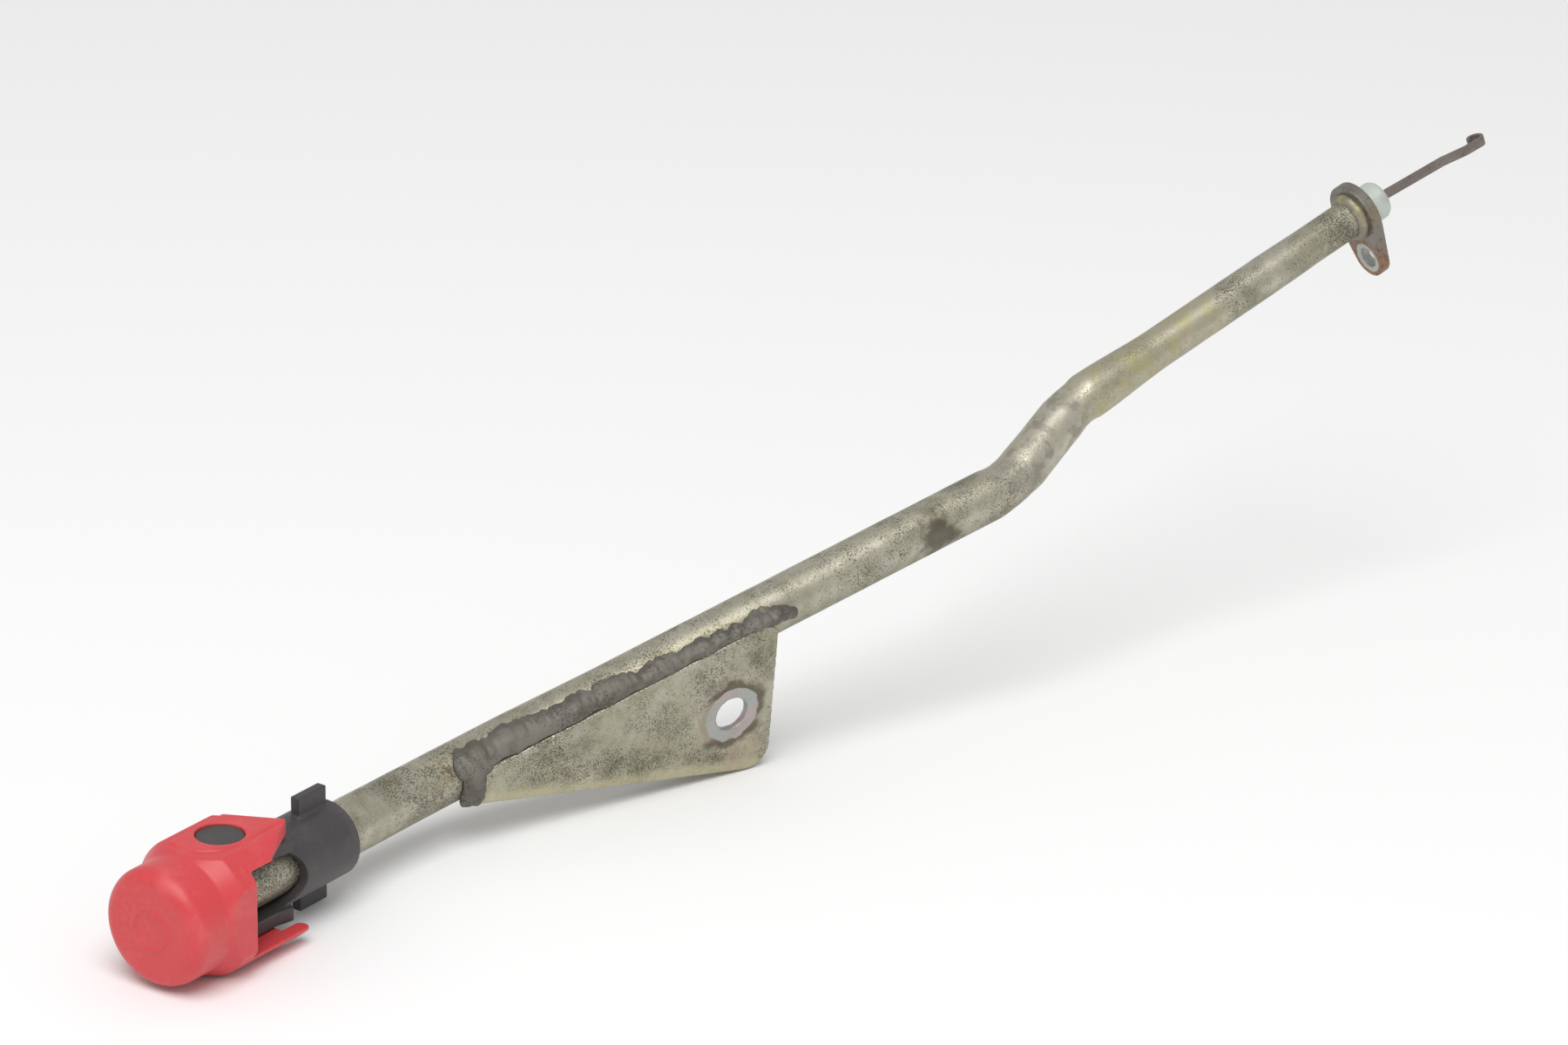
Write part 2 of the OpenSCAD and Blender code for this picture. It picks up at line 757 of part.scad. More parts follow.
module blade_ferrule() {
    color(zinc) laid()
    on_flange()
    translate([ferrule_x, 0, 0]) rotate([0, 90, 0]) difference() {
        cylinder(h = ferrule_len, r = ferrule_r);
        translate([0, 0, -1])
            cylinder(h = blade_start - ferrule_x + 1, d = shaft_d + 0.1);
        translate([-blade_w / 2 - 0.02, -blade_t / 2 - 0.02, blade_start - ferrule_x - 0.01])
            cube([blade_w + 0.04, blade_t + 0.04, ferrule_len]);
    }
}

// Blade past the bushing, seen from above: a small step to the front and a folded loop
module blade_plan() {
    jog_x = blade_out - jog_len - jog_lead;
    half = blade_t / 2;
    loop_r = loop_d / 2;
    translate([-0.5, -half]) square([jog_x + 0.5, blade_t]);
    polygon([[jog_x, -half], [jog_x + jog_len, -half - blade_jog],
        [jog_x + jog_len, half - blade_jog], [jog_x, half]]);
    translate([jog_x + jog_len, -half - blade_jog]) square([jog_lead, blade_t]);
    translate([blade_out, loop_r - half - blade_jog]) difference() {
        circle(r = loop_r, $fn = 48);
        circle(r = loop_r - blade_t, $fn = 48);
        translate([-2 * loop_r, -loop_r]) square([2 * loop_r, loop_r]);
    }
}

module dipstick_blade() {
    exit_x = bush_x + bush_len;
    color(dark_steel) laid()
    on_flange() {
        translate([blade_start, -blade_t / 2, -blade_w / 2])
            cube([exit_x - blade_start, blade_t, blade_w]);
        translate([exit_x, 0, 0]) rotate([0, blade_droop, 0])
            translate([0, 0, -blade_w / 2]) linear_extrude(blade_w) blade_plan();
    }
}

lever_cap();
yoke_collar();
guide_tube();
mounting_bracket();
bracket_weld();
lower_flange();
flange_braze();
seal_ring();
end_bushing();
thrust_button();
pull_rod();
upper_plug_washer();
rubber_plug();
lower_plug_washer();
rod_nut();
shaft_socket();
flexible_shaft();
blade_ferrule();
dipstick_blade();
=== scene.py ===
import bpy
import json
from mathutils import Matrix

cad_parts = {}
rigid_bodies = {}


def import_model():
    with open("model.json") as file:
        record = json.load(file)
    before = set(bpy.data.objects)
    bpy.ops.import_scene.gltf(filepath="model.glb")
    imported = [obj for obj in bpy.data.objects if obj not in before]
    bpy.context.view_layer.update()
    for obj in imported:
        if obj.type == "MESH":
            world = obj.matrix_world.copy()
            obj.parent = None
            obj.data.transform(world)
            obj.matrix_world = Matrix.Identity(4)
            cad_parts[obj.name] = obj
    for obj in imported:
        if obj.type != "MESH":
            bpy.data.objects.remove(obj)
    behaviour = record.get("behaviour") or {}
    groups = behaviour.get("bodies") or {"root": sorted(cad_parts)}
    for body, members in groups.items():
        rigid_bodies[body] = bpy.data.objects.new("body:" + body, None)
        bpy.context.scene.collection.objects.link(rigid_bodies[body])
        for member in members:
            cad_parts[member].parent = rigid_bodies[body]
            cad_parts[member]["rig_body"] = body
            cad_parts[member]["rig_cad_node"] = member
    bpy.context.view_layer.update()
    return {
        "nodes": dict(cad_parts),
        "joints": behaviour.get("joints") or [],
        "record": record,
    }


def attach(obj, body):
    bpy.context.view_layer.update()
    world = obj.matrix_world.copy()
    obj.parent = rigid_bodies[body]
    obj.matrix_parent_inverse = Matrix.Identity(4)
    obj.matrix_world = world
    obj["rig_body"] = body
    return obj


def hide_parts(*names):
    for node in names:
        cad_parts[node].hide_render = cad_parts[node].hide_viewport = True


bl_info = {
    "name": "Gearbox Dipstick",
    "version": (1, 0, 0),
    "blender": (4, 5, 0),
    "location": "View3D > Sidebar > Dipstick",
    "description": "Dresses the packed dipstick and guide tube with detailed pieces and aged finishes",
    "category": "Object",
}

import json
import math

import bpy
from mathutils import Euler, Matrix, Vector, kdtree, noise

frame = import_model()

MM = 0.001
MERGE_DISTANCE = 1e-6
PIVOT = Vector(frame["joints"][0]["pos_m"])
MOUNTS = {mount["name"]: Vector(mount["pos_m"]) for mount in frame["record"]["mounts"]}


# Settings that a user would change


class TubeSettings(bpy.types.PropertyGroup):
    """Sizes of the bent guide tube."""

    upper_od: bpy.props.FloatProperty(
        name="Upper diameter", description="Outer diameter under the collar",
        default=0.014, unit="LENGTH", precision=4)
    run_od: bpy.props.FloatProperty(
        name="Run diameter", description="Outer diameter of the main run",
        default=0.0132, unit="LENGTH", precision=4)
    lower_od: bpy.props.FloatProperty(
        name="Lower diameter", description="Outer diameter of the lower run",
        default=0.0104, unit="LENGTH", precision=4)
    wall: bpy.props.FloatProperty(
        name="Wall", description="Wall thickness of the tube",
        default=0.0012, unit="LENGTH", precision=4)
    flattening: bpy.props.FloatProperty(
        name="Elbow flattening", description="Share of its height that an elbow loses",
        default=0.12, min=0.0, max=0.3, subtype="FACTOR")
    ripple: bpy.props.FloatProperty(
        name="Ripple", description="Depth of the ripples inside the elbows",
        default=0.00022, unit="LENGTH", precision=5)


class FinishSettings(bpy.types.PropertyGroup):
    """Colours of the finishes."""

    red: bpy.props.FloatVectorProperty(
        name="Cap red", description="Colour of the moulded lever cap",
        default=(0.62, 0.055, 0.062, 1.0), size=4, subtype="COLOR", min=0.0, max=1.0)
    black: bpy.props.FloatVectorProperty(
        name="Yoke black", description="Colour of the moulded yoke",
        default=(0.050, 0.046, 0.046, 1.0), size=4, subtype="COLOR", min=0.0, max=1.0)
    zinc: bpy.props.FloatVectorProperty(
        name="Zinc", description="Main colour of the aged zinc",
        default=(0.50, 0.475, 0.385, 1.0), size=4, subtype="COLOR", min=0.0, max=1.0)
    olive: bpy.props.FloatVectorProperty(
        name="Olive tint", description="Colour of the aged zinc's darker patches",
        default=(0.32, 0.305, 0.21, 1.0), size=4, subtype="COLOR", min=0.0, max=1.0)
    weld: bpy.props.FloatVectorProperty(
        name="Weld", description="Colour of the weld bead",
        default=(0.125, 0.117, 0.098, 1.0), size=4, subtype="COLOR", min=0.0, max=1.0)
    rust: bpy.props.FloatVectorProperty(
        name="Rust", description="Colour of the rust on the flange",
        default=(0.27, 0.125, 0.055, 1.0), size=4, subtype="COLOR", min=0.0, max=1.0)


class StageSettings(bpy.types.PropertyGroup):
    """Camera, floor and light."""

    focal_length: bpy.props.FloatProperty(
        name="Focal length", description="Focal length of the camera in millimetres",
        default=160.0, min=20.0, max=400.0, unit="CAMERA")
    floor_colour: bpy.props.FloatVectorProperty(
        name="Floor", description="Colour of the floor",
        default=(0.93, 0.93, 0.927, 1.0), size=4, subtype="COLOR", min=0.0, max=1.0)
    sky: bpy.props.FloatProperty(
        name="Sky strength", description="Strength of the even light from all round",
        default=0.56, min=0.0, max=3.0)
    lamp: bpy.props.FloatProperty(
        name="Lamp power", description="Power of the large soft lamp", default=30.0, min=0.0,
        subtype="POWER")


# Hand tools


def pick(*pieces):
    """Leaves object mode on and only these pieces selected."""
    if bpy.context.object and bpy.context.object.mode != "OBJECT":
        bpy.ops.object.mode_set(mode="OBJECT")
    bpy.ops.object.select_all(action="DESELECT")
    for piece in pieces:
        piece.select_set(True)
    bpy.context.view_layer.objects.active = pieces[0]


def named(name):
    """Names the piece that an operator just added, and its mesh."""
    piece = bpy.context.object
    piece.name = name
    piece.data.name = name
    return piece


def settle(piece):
    """Moves a piece's place into its mesh."""
    pick(piece)
    bpy.ops.object.transform_apply(location=True, rotation=True, scale=True)
    return piece


def modify(piece, kind, **values):
    """Adds a modifier, sets its values and applies it."""
    pick(piece)
    step = piece.modifiers.new(kind.title(), kind)
    for key, value in values.items():
        setattr(step, key, value)
    bpy.ops.object.modifier_apply(modifier=step.name)


def tidy(piece):
    """Merges doubled points and turns all faces outwards."""
    pick(piece)
    bpy.ops.object.mode_set(mode="EDIT")
    bpy.ops.mesh.select_all(action="SELECT")
    bpy.ops.mesh.remove_doubles(threshold=MERGE_DISTANCE)
    bpy.ops.mesh.normals_make_consistent(inside=False)
    bpy.ops.object.mode_set(mode="OBJECT")
    return piece


def smooth(piece, angle):
    """Shades a piece smooth up to an angle between faces."""
    pick(piece)
    bpy.ops.object.shade_smooth_by_angle(angle=math.radians(angle), keep_sharp_edges=False)


def copy_node(node, name):
    """A merged copy of a CAD node, as the start of a dressed piece."""
    pick(frame["nodes"][node])
    bpy.ops.object.duplicate()
    piece = named(name)
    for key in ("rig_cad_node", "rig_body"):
        if key in piece:
            del piece[key]
    piece.parent = None
    piece.data.materials.clear()
    return tidy(piece)


def moulded(piece, voxel, rounds):
    """Closes a copied solid into an even mesh and softens its edges."""
    modify(piece, "REMESH", mode="VOXEL", voxel_size=voxel, adaptivity=0.0,
           use_smooth_shade=True)
    modify(piece, "SMOOTH", factor=0.5, iterations=rounds)


def dress(piece, body, finish, slot, *nodes):
    """Gives a finished piece its material and its body, and hides the nodes that it stands for."""
    piece.data.materials.clear()
    piece.data.materials.append(finish)
    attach(piece, body)
    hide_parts(*nodes)


# The tube's route and the pieces' own frames, in metres and degrees


MOUTH_BACK = 0.0075
UPPER_LEN = 0.075
RUN_LEN = 0.174
MIDDLE_LEN = 0.0285
LOWER_LEN = 0.096
BEND_R = 0.090
ELBOW_R = 0.034
RUN_TURN = 22.0
RUN_RISE = 14.7
MIDDLE_TURN = 3.5
MIDDLE_RISE = 28.4
LOWER_TURN = 17.9
LOWER_RISE = 19.7
PLATE_ROLL = 10.5
LUG_ROLL = -9.0
RING_STEP = 0.0014
SWAGE_START = 0.018
SWAGE_LEN = 0.040
NECK_START = -0.006
NECK_LEN = 0.020
NECK_LOSS = 0.0004
LOW_SWAGE_START = 0.004
LOW_SWAGE_LEN = 0.026
WIDE_BEND_SHARE = 0.15


def heading(turn, rise):
    """Unit vector of a heading, from its turn and its rise in degrees."""
    t, r = math.radians(turn), math.radians(rise)
    return Vector((math.cos(r) * math.cos(t), -math.cos(r) * math.sin(t), math.sin(r)))


UPPER = heading(0.0, 0.0)
RUN = heading(RUN_TURN, RUN_RISE)
MIDDLE = heading(MIDDLE_TURN, MIDDLE_RISE)
LOWER = heading(LOWER_TURN, LOWER_RISE)
MOUTH = PIVOT - MOUTH_BACK * UPPER
BEND = PIVOT + UPPER_LEN * UPPER
ELBOW_A = BEND + RUN_LEN * RUN
ELBOW_B = ELBOW_A + MIDDLE_LEN * MIDDLE
FLANGE = ELBOW_B + LOWER_LEN * LOWER


def frame_at(place, turn, rise, roll):
    """A frame at a place with its X axis on a heading, then rolled about it."""
    turned = Matrix.Rotation(math.radians(-turn), 4, "Z")
    risen = Matrix.Rotation(math.radians(-rise), 4, "Y")
    rolled = Matrix.Rotation(math.radians(roll), 4, "X")
    return Matrix.Translation(place) @ turned @ risen @ rolled


PLATE_FRAME = frame_at(BEND, RUN_TURN, RUN_RISE, PLATE_ROLL)
FLANGE_FRAME = frame_at(FLANGE, LOWER_TURN, LOWER_RISE, LUG_ROLL)


def on_plate(x, y, z):
    """A direction or a step in the bracket's frame, turned into the part's."""
    return PLATE_FRAME.to_3x3() @ Vector((x, y, z))


PLATE_OUT = on_plate(0.0, -1.0, 0.0)
PLATE_UP = on_plate(0.0, 0.0, 1.0)


def arc(corner, before, after, radius):
    """Points, headings and shares of the turn along a bend between two headings."""
    sweep = before.angle(after)
    side = (after - before.dot(after) * before).normalized()
    start = corner - radius * math.tan(sweep / 2) * before
    count = max(4, round(radius * sweep / RING_STEP))
    for k in range(count + 1):
        w = sweep * k / count
        yield (start + radius * (math.sin(w) * before + (1 - math.cos(w)) * side),
               math.cos(w) * before + math.sin(w) * side, k / count)


def straight(start, end, way):
    """Ring marks along a straight run, from the one past its start to the one at its end."""
    gap = (end - start).length
    count = round(gap / RING_STEP)
    return [(start + way * (gap * k / count), way, 0.0) for k in range(1, count + 1)]


def ease(x):
    """Soft step from 0 to 1."""
    x = min(1.0, max(0.0, x))
    return x * x * (3 - 2 * x)


def outer_radius(tube, place):
    """Outer radius of the tube at a place on its axis, with its neck and swages."""
    upper, run, low = tube.upper_od / 2, tube.run_od / 2, tube.lower_od / 2
    past_bend = (place - BEND).dot(RUN)
    past_a = (place - ELBOW_A).dot(RUN)
    past_b = (place - ELBOW_B).dot(LOWER)
    if past_b > LOW_SWAGE_START:
        share = ease((past_b - LOW_SWAGE_START) / LOW_SWAGE_LEN)
        return (run - NECK_LOSS) + (low - run + NECK_LOSS) * share
    if past_a > NECK_START:
        return run - NECK_LOSS * ease((past_a - NECK_START) / NECK_LEN)
    if past_bend > 0:
        return upper + (run - upper) * ease((past_bend - SWAGE_START) / SWAGE_LEN)
    return upper


def tube_stations(tube):
    """Centre, heading, radius and elbow share of each ring of the tube."""
    marks = [(MOUTH, UPPER, 0.0)]
    for corner, before, after, radius, bend in (
            (BEND, UPPER, RUN, BEND_R, WIDE_BEND_SHARE), (ELBOW_A, RUN, MIDDLE, ELBOW_R, 1.0),
            (ELBOW_B, MIDDLE, LOWER, ELBOW_R, 1.0)):
        turned = list(arc(corner, before, after, radius))
        marks += straight(marks[-1][0], turned[0][0], marks[-1][1])[:-1]
        marks += [(place, way, bend * math.sin(math.pi * share)) for place, way, share in turned]
    marks += straight(marks[-1][0], FLANGE, LOWER)
    return [(place, way, outer_radius(tube, place), bend) for place, way, bend in marks]


def station_tree(stations):
    """Search tree of the stations' centres."""
    tree = kdtree.KDTree(len(stations))
    for k, (place, _, _, _) in enumerate(stations):
        tree.insert(place, k)
    tree.balance()
    return tree


# Shared shader groups and finishes


def add(tree, kind, place=(0, 0), **values):
    """Adds a node and sets its properties or its sockets' values."""
    item = tree.nodes.new(kind)
    item.location = place
    for key, value in values.items():
        if hasattr(item, key):
            setattr(item, key, value)
        else:
            item.inputs[key.replace("_", " ")].default_value = value
    return item


def join(tree, source, target):
    """Links an output to an input."""
    tree.links.new(source, target)


def new_group(name, inputs, outputs):
    """Starts a shader node group with named inputs and outputs."""
    group = bpy.data.node_groups.new(name, "ShaderNodeTree")
    for label, kind, value in inputs:
        socket = group.interface.new_socket(name=label, in_out="INPUT", socket_type=kind)
        if value is not None:
            socket.default_value = value
    for label, kind in outputs:
        group.interface.new_socket(name=label, in_out="OUTPUT", socket_type=kind)
    return group, add(group, "NodeGroupInput", (-900, 0)), add(group, "NodeGroupOutput", (500, 0))


def speckle_group():
    """Small dark pits that gather in patches."""
    group, entry, leave = new_group(
        "Speckle", [("Vector", "NodeSocketVector", None), ("Scale", "NodeSocketFloat", 900.0),
                    ("Amount", "NodeSocketFloat", 0.4), ("Patch Scale", "NodeSocketFloat", 60.0)],
        [("Mask", "NodeSocketFloat")])
    fine = add(group, "ShaderNodeTexNoise", (-650, 150), Detail=2.0, Roughness=0.7)
    broad = add(group, "ShaderNodeTexNoise", (-650, -150), Detail=3.0, Roughness=0.6)
    join(group, entry.outputs["Vector"], fine.inputs["Vector"])
    join(group, entry.outputs["Vector"], broad.inputs["Vector"])
    join(group, entry.outputs["Scale"], fine.inputs["Scale"])
    join(group, entry.outputs["Patch Scale"], broad.inputs["Scale"])
    lift = add(group, "ShaderNodeMath", (-400, -150), operation="MULTIPLY_ADD")
    join(group, broad.outputs["Fac"], lift.inputs[0])
    lift.inputs[1].default_value = 0.7
    lift.inputs[2].default_value = -0.35
    total = add(group, "ShaderNodeMath", (-250, 50), operation="ADD")
    join(group, fine.outputs["Fac"], total.inputs[0])
    join(group, lift.outputs[0], total.inputs[1])
    mask = add(group, "ShaderNodeMapRange", (-50, 50), interpolation_type="SMOOTHSTEP")
    mask.inputs["From Min"].default_value = 0.56
    mask.inputs["From Max"].default_value = 0.66
    join(group, total.outputs[0], mask.inputs["Value"])
    scaled = add(group, "ShaderNodeMath", (200, 50), operation="MULTIPLY")
    join(group, mask.outputs[0], scaled.inputs[0])
    join(group, entry.outputs["Amount"], scaled.inputs[1])
    join(group, scaled.outputs[0], leave.inputs["Mask"])


def patch_group():
    """Broad uneven patches with soft edges."""
    group, entry, leave = new_group(
        "Patches", [("Vector", "NodeSocketVector", None), ("Scale", "NodeSocketFloat", 40.0),
                    ("Low", "NodeSocketFloat", 0.42), ("High", "NodeSocketFloat", 0.62)],
        [("Mask", "NodeSocketFloat")])
    cloud = add(group, "ShaderNodeTexNoise", (-600, 0), Detail=6.0, Roughness=0.58, Distortion=0.4)
    join(group, entry.outputs["Vector"], cloud.inputs["Vector"])
    join(group, entry.outputs["Scale"], cloud.inputs["Scale"])
    mask = add(group, "ShaderNodeMapRange", (-200, 0), interpolation_type="SMOOTHSTEP")
    join(group, cloud.outputs["Fac"], mask.inputs["Value"])
    join(group, entry.outputs["Low"], mask.inputs["From Min"])
    join(group, entry.outputs["High"], mask.inputs["From Max"])
    join(group, mask.outputs[0], leave.inputs["Mask"])


def ring_group():
    """A ring mark round an axis through a point, with a ragged edge."""
    group, entry, leave = new_group(
        "Ring Mark", [("Vector", "NodeSocketVector", None), ("Centre", "NodeSocketVector", None),
                      ("Axis", "NodeSocketVector", None), ("Radius", "NodeSocketFloat", 0.008),
                      ("Edge", "NodeSocketFloat", 0.001), ("Ragged", "NodeSocketFloat", 0.002),
                      ("Ragged Scale", "NodeSocketFloat", 300.0)],
        [("Mask", "NodeSocketFloat")])
    off = add(group, "ShaderNodeVectorMath", (-700, 100), operation="SUBTRACT")
    join(group, entry.outputs["Vector"], off.inputs[0])
    join(group, entry.outputs["Centre"], off.inputs[1])
    cross = add(group, "ShaderNodeVectorMath", (-520, 100), operation="CROSS_PRODUCT")
    join(group, off.outputs[0], cross.inputs[0])
    join(group, entry.outputs["Axis"], cross.inputs[1])
    size = add(group, "ShaderNodeVectorMath", (-340, 100), operation="LENGTH")
    join(group, cross.outputs[0], size.inputs[0])
    rough = add(group, "ShaderNodeTexNoise", (-700, -200), Detail=4.0)
    join(group, entry.outputs["Vector"], rough.inputs["Vector"])
    join(group, entry.outputs["Ragged Scale"], rough.inputs["Scale"])
    centred = add(group, "ShaderNodeMath", (-520, -200), operation="SUBTRACT")
    join(group, rough.outputs["Fac"], centred.inputs[0])
    centred.inputs[1].default_value = 0.5
    jag = add(group, "ShaderNodeMath", (-340, -200), operation="MULTIPLY_ADD")
    join(group, centred.outputs[0], jag.inputs[0])
    join(group, entry.outputs["Ragged"], jag.inputs[1])
    join(group, size.outputs["Value"], jag.inputs[2])
    inner = add(group, "ShaderNodeMath", (-150, -300), operation="SUBTRACT")
    join(group, entry.outputs["Radius"], inner.inputs[0])
    join(group, entry.outputs["Edge"], inner.inputs[1])
    mask = add(group, "ShaderNodeMapRange", (100, 0), interpolation_type="SMOOTHSTEP")
    join(group, jag.outputs[0], mask.inputs["Value"])
    join(group, inner.outputs[0], mask.inputs["From Min"])
    join(group, entry.outputs["Radius"], mask.inputs["From Max"])
    mask.inputs["To Min"].default_value = 1.0
    mask.inputs["To Max"].default_value = 0.0
    join(group, mask.outputs[0], leave.inputs["Mask"])


def grain_group():
    """Fine height for bump: a soft grain over broader waves."""
    group, entry, leave = new_group(
        "Grain", [("Vector", "NodeSocketVector", None), ("Fine Scale", "NodeSocketFloat", 2500.0),
                  ("Wave Scale", "NodeSocketFloat", 300.0), ("Wave Share", "NodeSocketFloat", 0.5)],
        [("Height", "NodeSocketFloat")])
    fine = add(group, "ShaderNodeTexNoise", (-600, 150), Detail=3.0, Roughness=0.6)
    wave = add(group, "ShaderNodeTexNoise", (-600, -150), Detail=2.0)
    for item, label in ((fine, "Fine Scale"), (wave, "Wave Scale")):
        join(group, entry.outputs["Vector"], item.inputs["Vector"])
        join(group, entry.outputs[label], item.inputs["Scale"])
    blend = add(group, "ShaderNodeMix", (-200, 0), data_type="FLOAT")
    join(group, entry.outputs["Wave Share"], blend.inputs[0])
    join(group, fine.outputs["Fac"], blend.inputs[2])
    join(group, wave.outputs["Fac"], blend.inputs[3])
    join(group, blend.outputs[0], leave.inputs["Height"])


def underside_group():
    """White where a face looks down, from the surface normal: the mask for painted shade on
    undersides.
    """
    group, entry, leave = new_group(
        "Underside", [("Vector", "NodeSocketVector", None), ("Low", "NodeSocketFloat", -0.8),
                      ("High", "NodeSocketFloat", 0.08)], [("Mask", "NodeSocketFloat")])
    split = add(group, "ShaderNodeSeparateXYZ", (-500, 0))
    join(group, entry.outputs["Vector"], split.inputs[0])
    mask = add(group, "ShaderNodeMapRange", (-100, 0), interpolation_type="SMOOTHSTEP")
    join(group, split.outputs["Z"], mask.inputs["Value"])
    join(group, entry.outputs["Low"], mask.inputs["From Min"])
    join(group, entry.outputs["High"], mask.inputs["From Max"])
    mask.inputs["To Min"].default_value = 1.0
    mask.inputs["To Max"].default_value = 0.0
    join(group, mask.outputs[0], leave.inputs["Mask"])


class Finish:
    """One material under construction, built from the shared groups."""

    def __init__(self, name, colour, metallic, roughness, **sockets):
        self.material = bpy.data.materials.new(name)
        self.material.use_nodes = True
        self.tree = self.material.node_tree
        self.shader = self.tree.nodes["Principled BSDF"]
        self.shader.inputs["Metallic"].default_value = metallic
        self.shader.inputs["Roughness"].default_value = roughness
        for key, value in sockets.items():
            self.shader.inputs[key.replace("_", " ")].default_value = value
        self.coords = add(self.tree, "ShaderNodeTexCoord", (-1400, 0))
        self.colour = None
        self.base = colour
        self.x = -1000

    def group(self, name, source="Object", **values):
        """Places a shared group with its values, and gives its output."""
        item = add(self.tree, "ShaderNodeGroup", (self.x, -250))
        item.node_tree = bpy.data.node_groups[name]
        for key, value in values.items():
            item.inputs[key.replace("_", " ")].default_value = value
        join(self.tree, self.coords.outputs[source], item.inputs["Vector"])
        return item.outputs[0]

    def both(self, one, other):
        """Product of two masks."""
        item = add(self.tree, "ShaderNodeMath", (self.x, -50), operation="MULTIPLY")
        join(self.tree, one, item.inputs[0])
        join(self.tree, other, item.inputs[1])
        return item.outputs[0]

    def tint(self, mask, colour, share=1.0):
        """Lays a colour over the last one where the mask is white."""
        self.x += 180
        blend = add(self.tree, "ShaderNodeMix", (self.x, 200), data_type="RGBA")
        if share < 1.0:
            part = add(self.tree, "ShaderNodeMath", (self.x - 80, 0), operation="MULTIPLY")
            join(self.tree, mask, part.inputs[0])
            part.inputs[1].default_value = share
            mask = part.outputs[0]
        join(self.tree, mask, blend.inputs["Factor"])
        if self.colour is None:
            blend.inputs[6].default_value = self.base
        else:
            join(self.tree, self.colour, blend.inputs[6])
        blend.inputs[7].default_value = colour
        self.colour = blend.outputs[2]

    def roughen(self, mask, low, high):
        """Maps a mask to the roughness."""
        span = add(self.tree, "ShaderNodeMapRange", (-300, -100))
        join(self.tree, mask, span.inputs["Value"])
        span.inputs["To Min"].default_value = low
        span.inputs["To Max"].default_value = high
        join(self.tree, span.outputs[0], self.shader.inputs["Roughness"])

    def bump(self, *layers):
        """Stacks heights into the normal: each layer is a height, a strength and a distance."""
        last = None
        for k, (height, strength, distance) in enumerate(layers):
            item = add(self.tree, "ShaderNodeBump", (-500 + 150 * k, -500))
            item.inputs["Strength"].default_value = strength
            item.inputs["Distance"].default_value = distance
            join(self.tree, height, item.inputs["Height"])
            if last is not None:
                join(self.tree, last, item.inputs["Normal"])
            last = item.outputs[0]
        join(self.tree, last, self.shader.inputs["Normal"])

    def done(self):
        """Gives the shader its colour and hands over the material."""
        if self.colour is None:
            self.shader.inputs["Base Color"].default_value = self.base
        else:
            join(self.tree, self.colour, self.shader.inputs["Base Color"])
        return self.material


COLOURS = {
    "worn red": (0.74, 0.17, 0.17, 1.0),
    "worn black": (0.105, 0.098, 0.096, 1.0),
    "pale zinc": (0.58, 0.55, 0.45, 1.0),
    "olive haze": (0.33, 0.315, 0.23, 1.0),
    "brown blotch": (0.19, 0.175, 0.13, 1.0),
    "dark pit": (0.105, 0.098, 0.066, 1.0),
    "fine pit": (0.14, 0.13, 0.09, 1.0),
    # painted shade, laid on faces that look down
    "painted shade zinc": (0.20, 0.185, 0.115, 1.0),
    "scorch": (0.085, 0.072, 0.05, 1.0),
    "bared zinc": (0.55, 0.52, 0.42, 1.0),
    "scraped zinc": (0.22, 0.205, 0.17, 1.0),
    "straw": (0.49, 0.455, 0.31, 1.0),
    "deep straw": (0.47, 0.43, 0.22, 1.0),
    "heated zinc": (0.50, 0.45, 0.30, 1.0),
    "spatter": (0.15, 0.125, 0.085, 1.0),
    # painted highlight along the bracket's folded edge
    "painted rim highlight": (0.56, 0.52, 0.34, 1.0),
    "pink rub": (0.57, 0.46, 0.35, 1.0),
    "tan rub": (0.50, 0.45, 0.35, 1.0),
    "grime": (0.11, 0.088, 0.058, 1.0),
    "bearing mark": (0.44, 0.43, 0.40, 1.0),
    "rose bloom": (0.54, 0.38, 0.41, 1.0),
    "teal sheen": (0.31, 0.43, 0.42, 1.0),
    "weld ash": (0.22, 0.208, 0.178, 1.0),
    "weld soot": (0.06, 0.054, 0.045, 1.0),
    "flange steel": (0.21, 0.19, 0.16, 1.0),
    "blued steel": (0.19, 0.20, 0.21, 1.0),
    "tanned steel": (0.30, 0.24, 0.155, 1.0),
    "rust pit": (0.10, 0.06, 0.035, 1.0),
    "bare lug": (0.44, 0.46, 0.43, 1.0),
    "braze": (0.26, 0.235, 0.165, 1.0),
    "grey braze": (0.22, 0.215, 0.19, 1.0),
    "golden braze": (0.42, 0.35, 0.20, 1.0),
    "braze pit": (0.11, 0.09, 0.06, 1.0),
    "blade steel": (0.19, 0.16, 0.145, 1.0),
    "pale blade": (0.25, 0.21, 0.185, 1.0),
    "blade pit": (0.10, 0.08, 0.07, 1.0),
    "bushing": (0.54, 0.58, 0.54, 1.0),
    "stained bushing": (0.42, 0.46, 0.41, 1.0),
    "rubber": (0.018, 0.017, 0.016, 1.0),
    "dusty rubber": (0.05, 0.048, 0.045, 1.0),
    "inner steel": (0.46, 0.45, 0.42, 1.0),
    "oily steel": (0.34, 0.33, 0.29, 1.0),
}


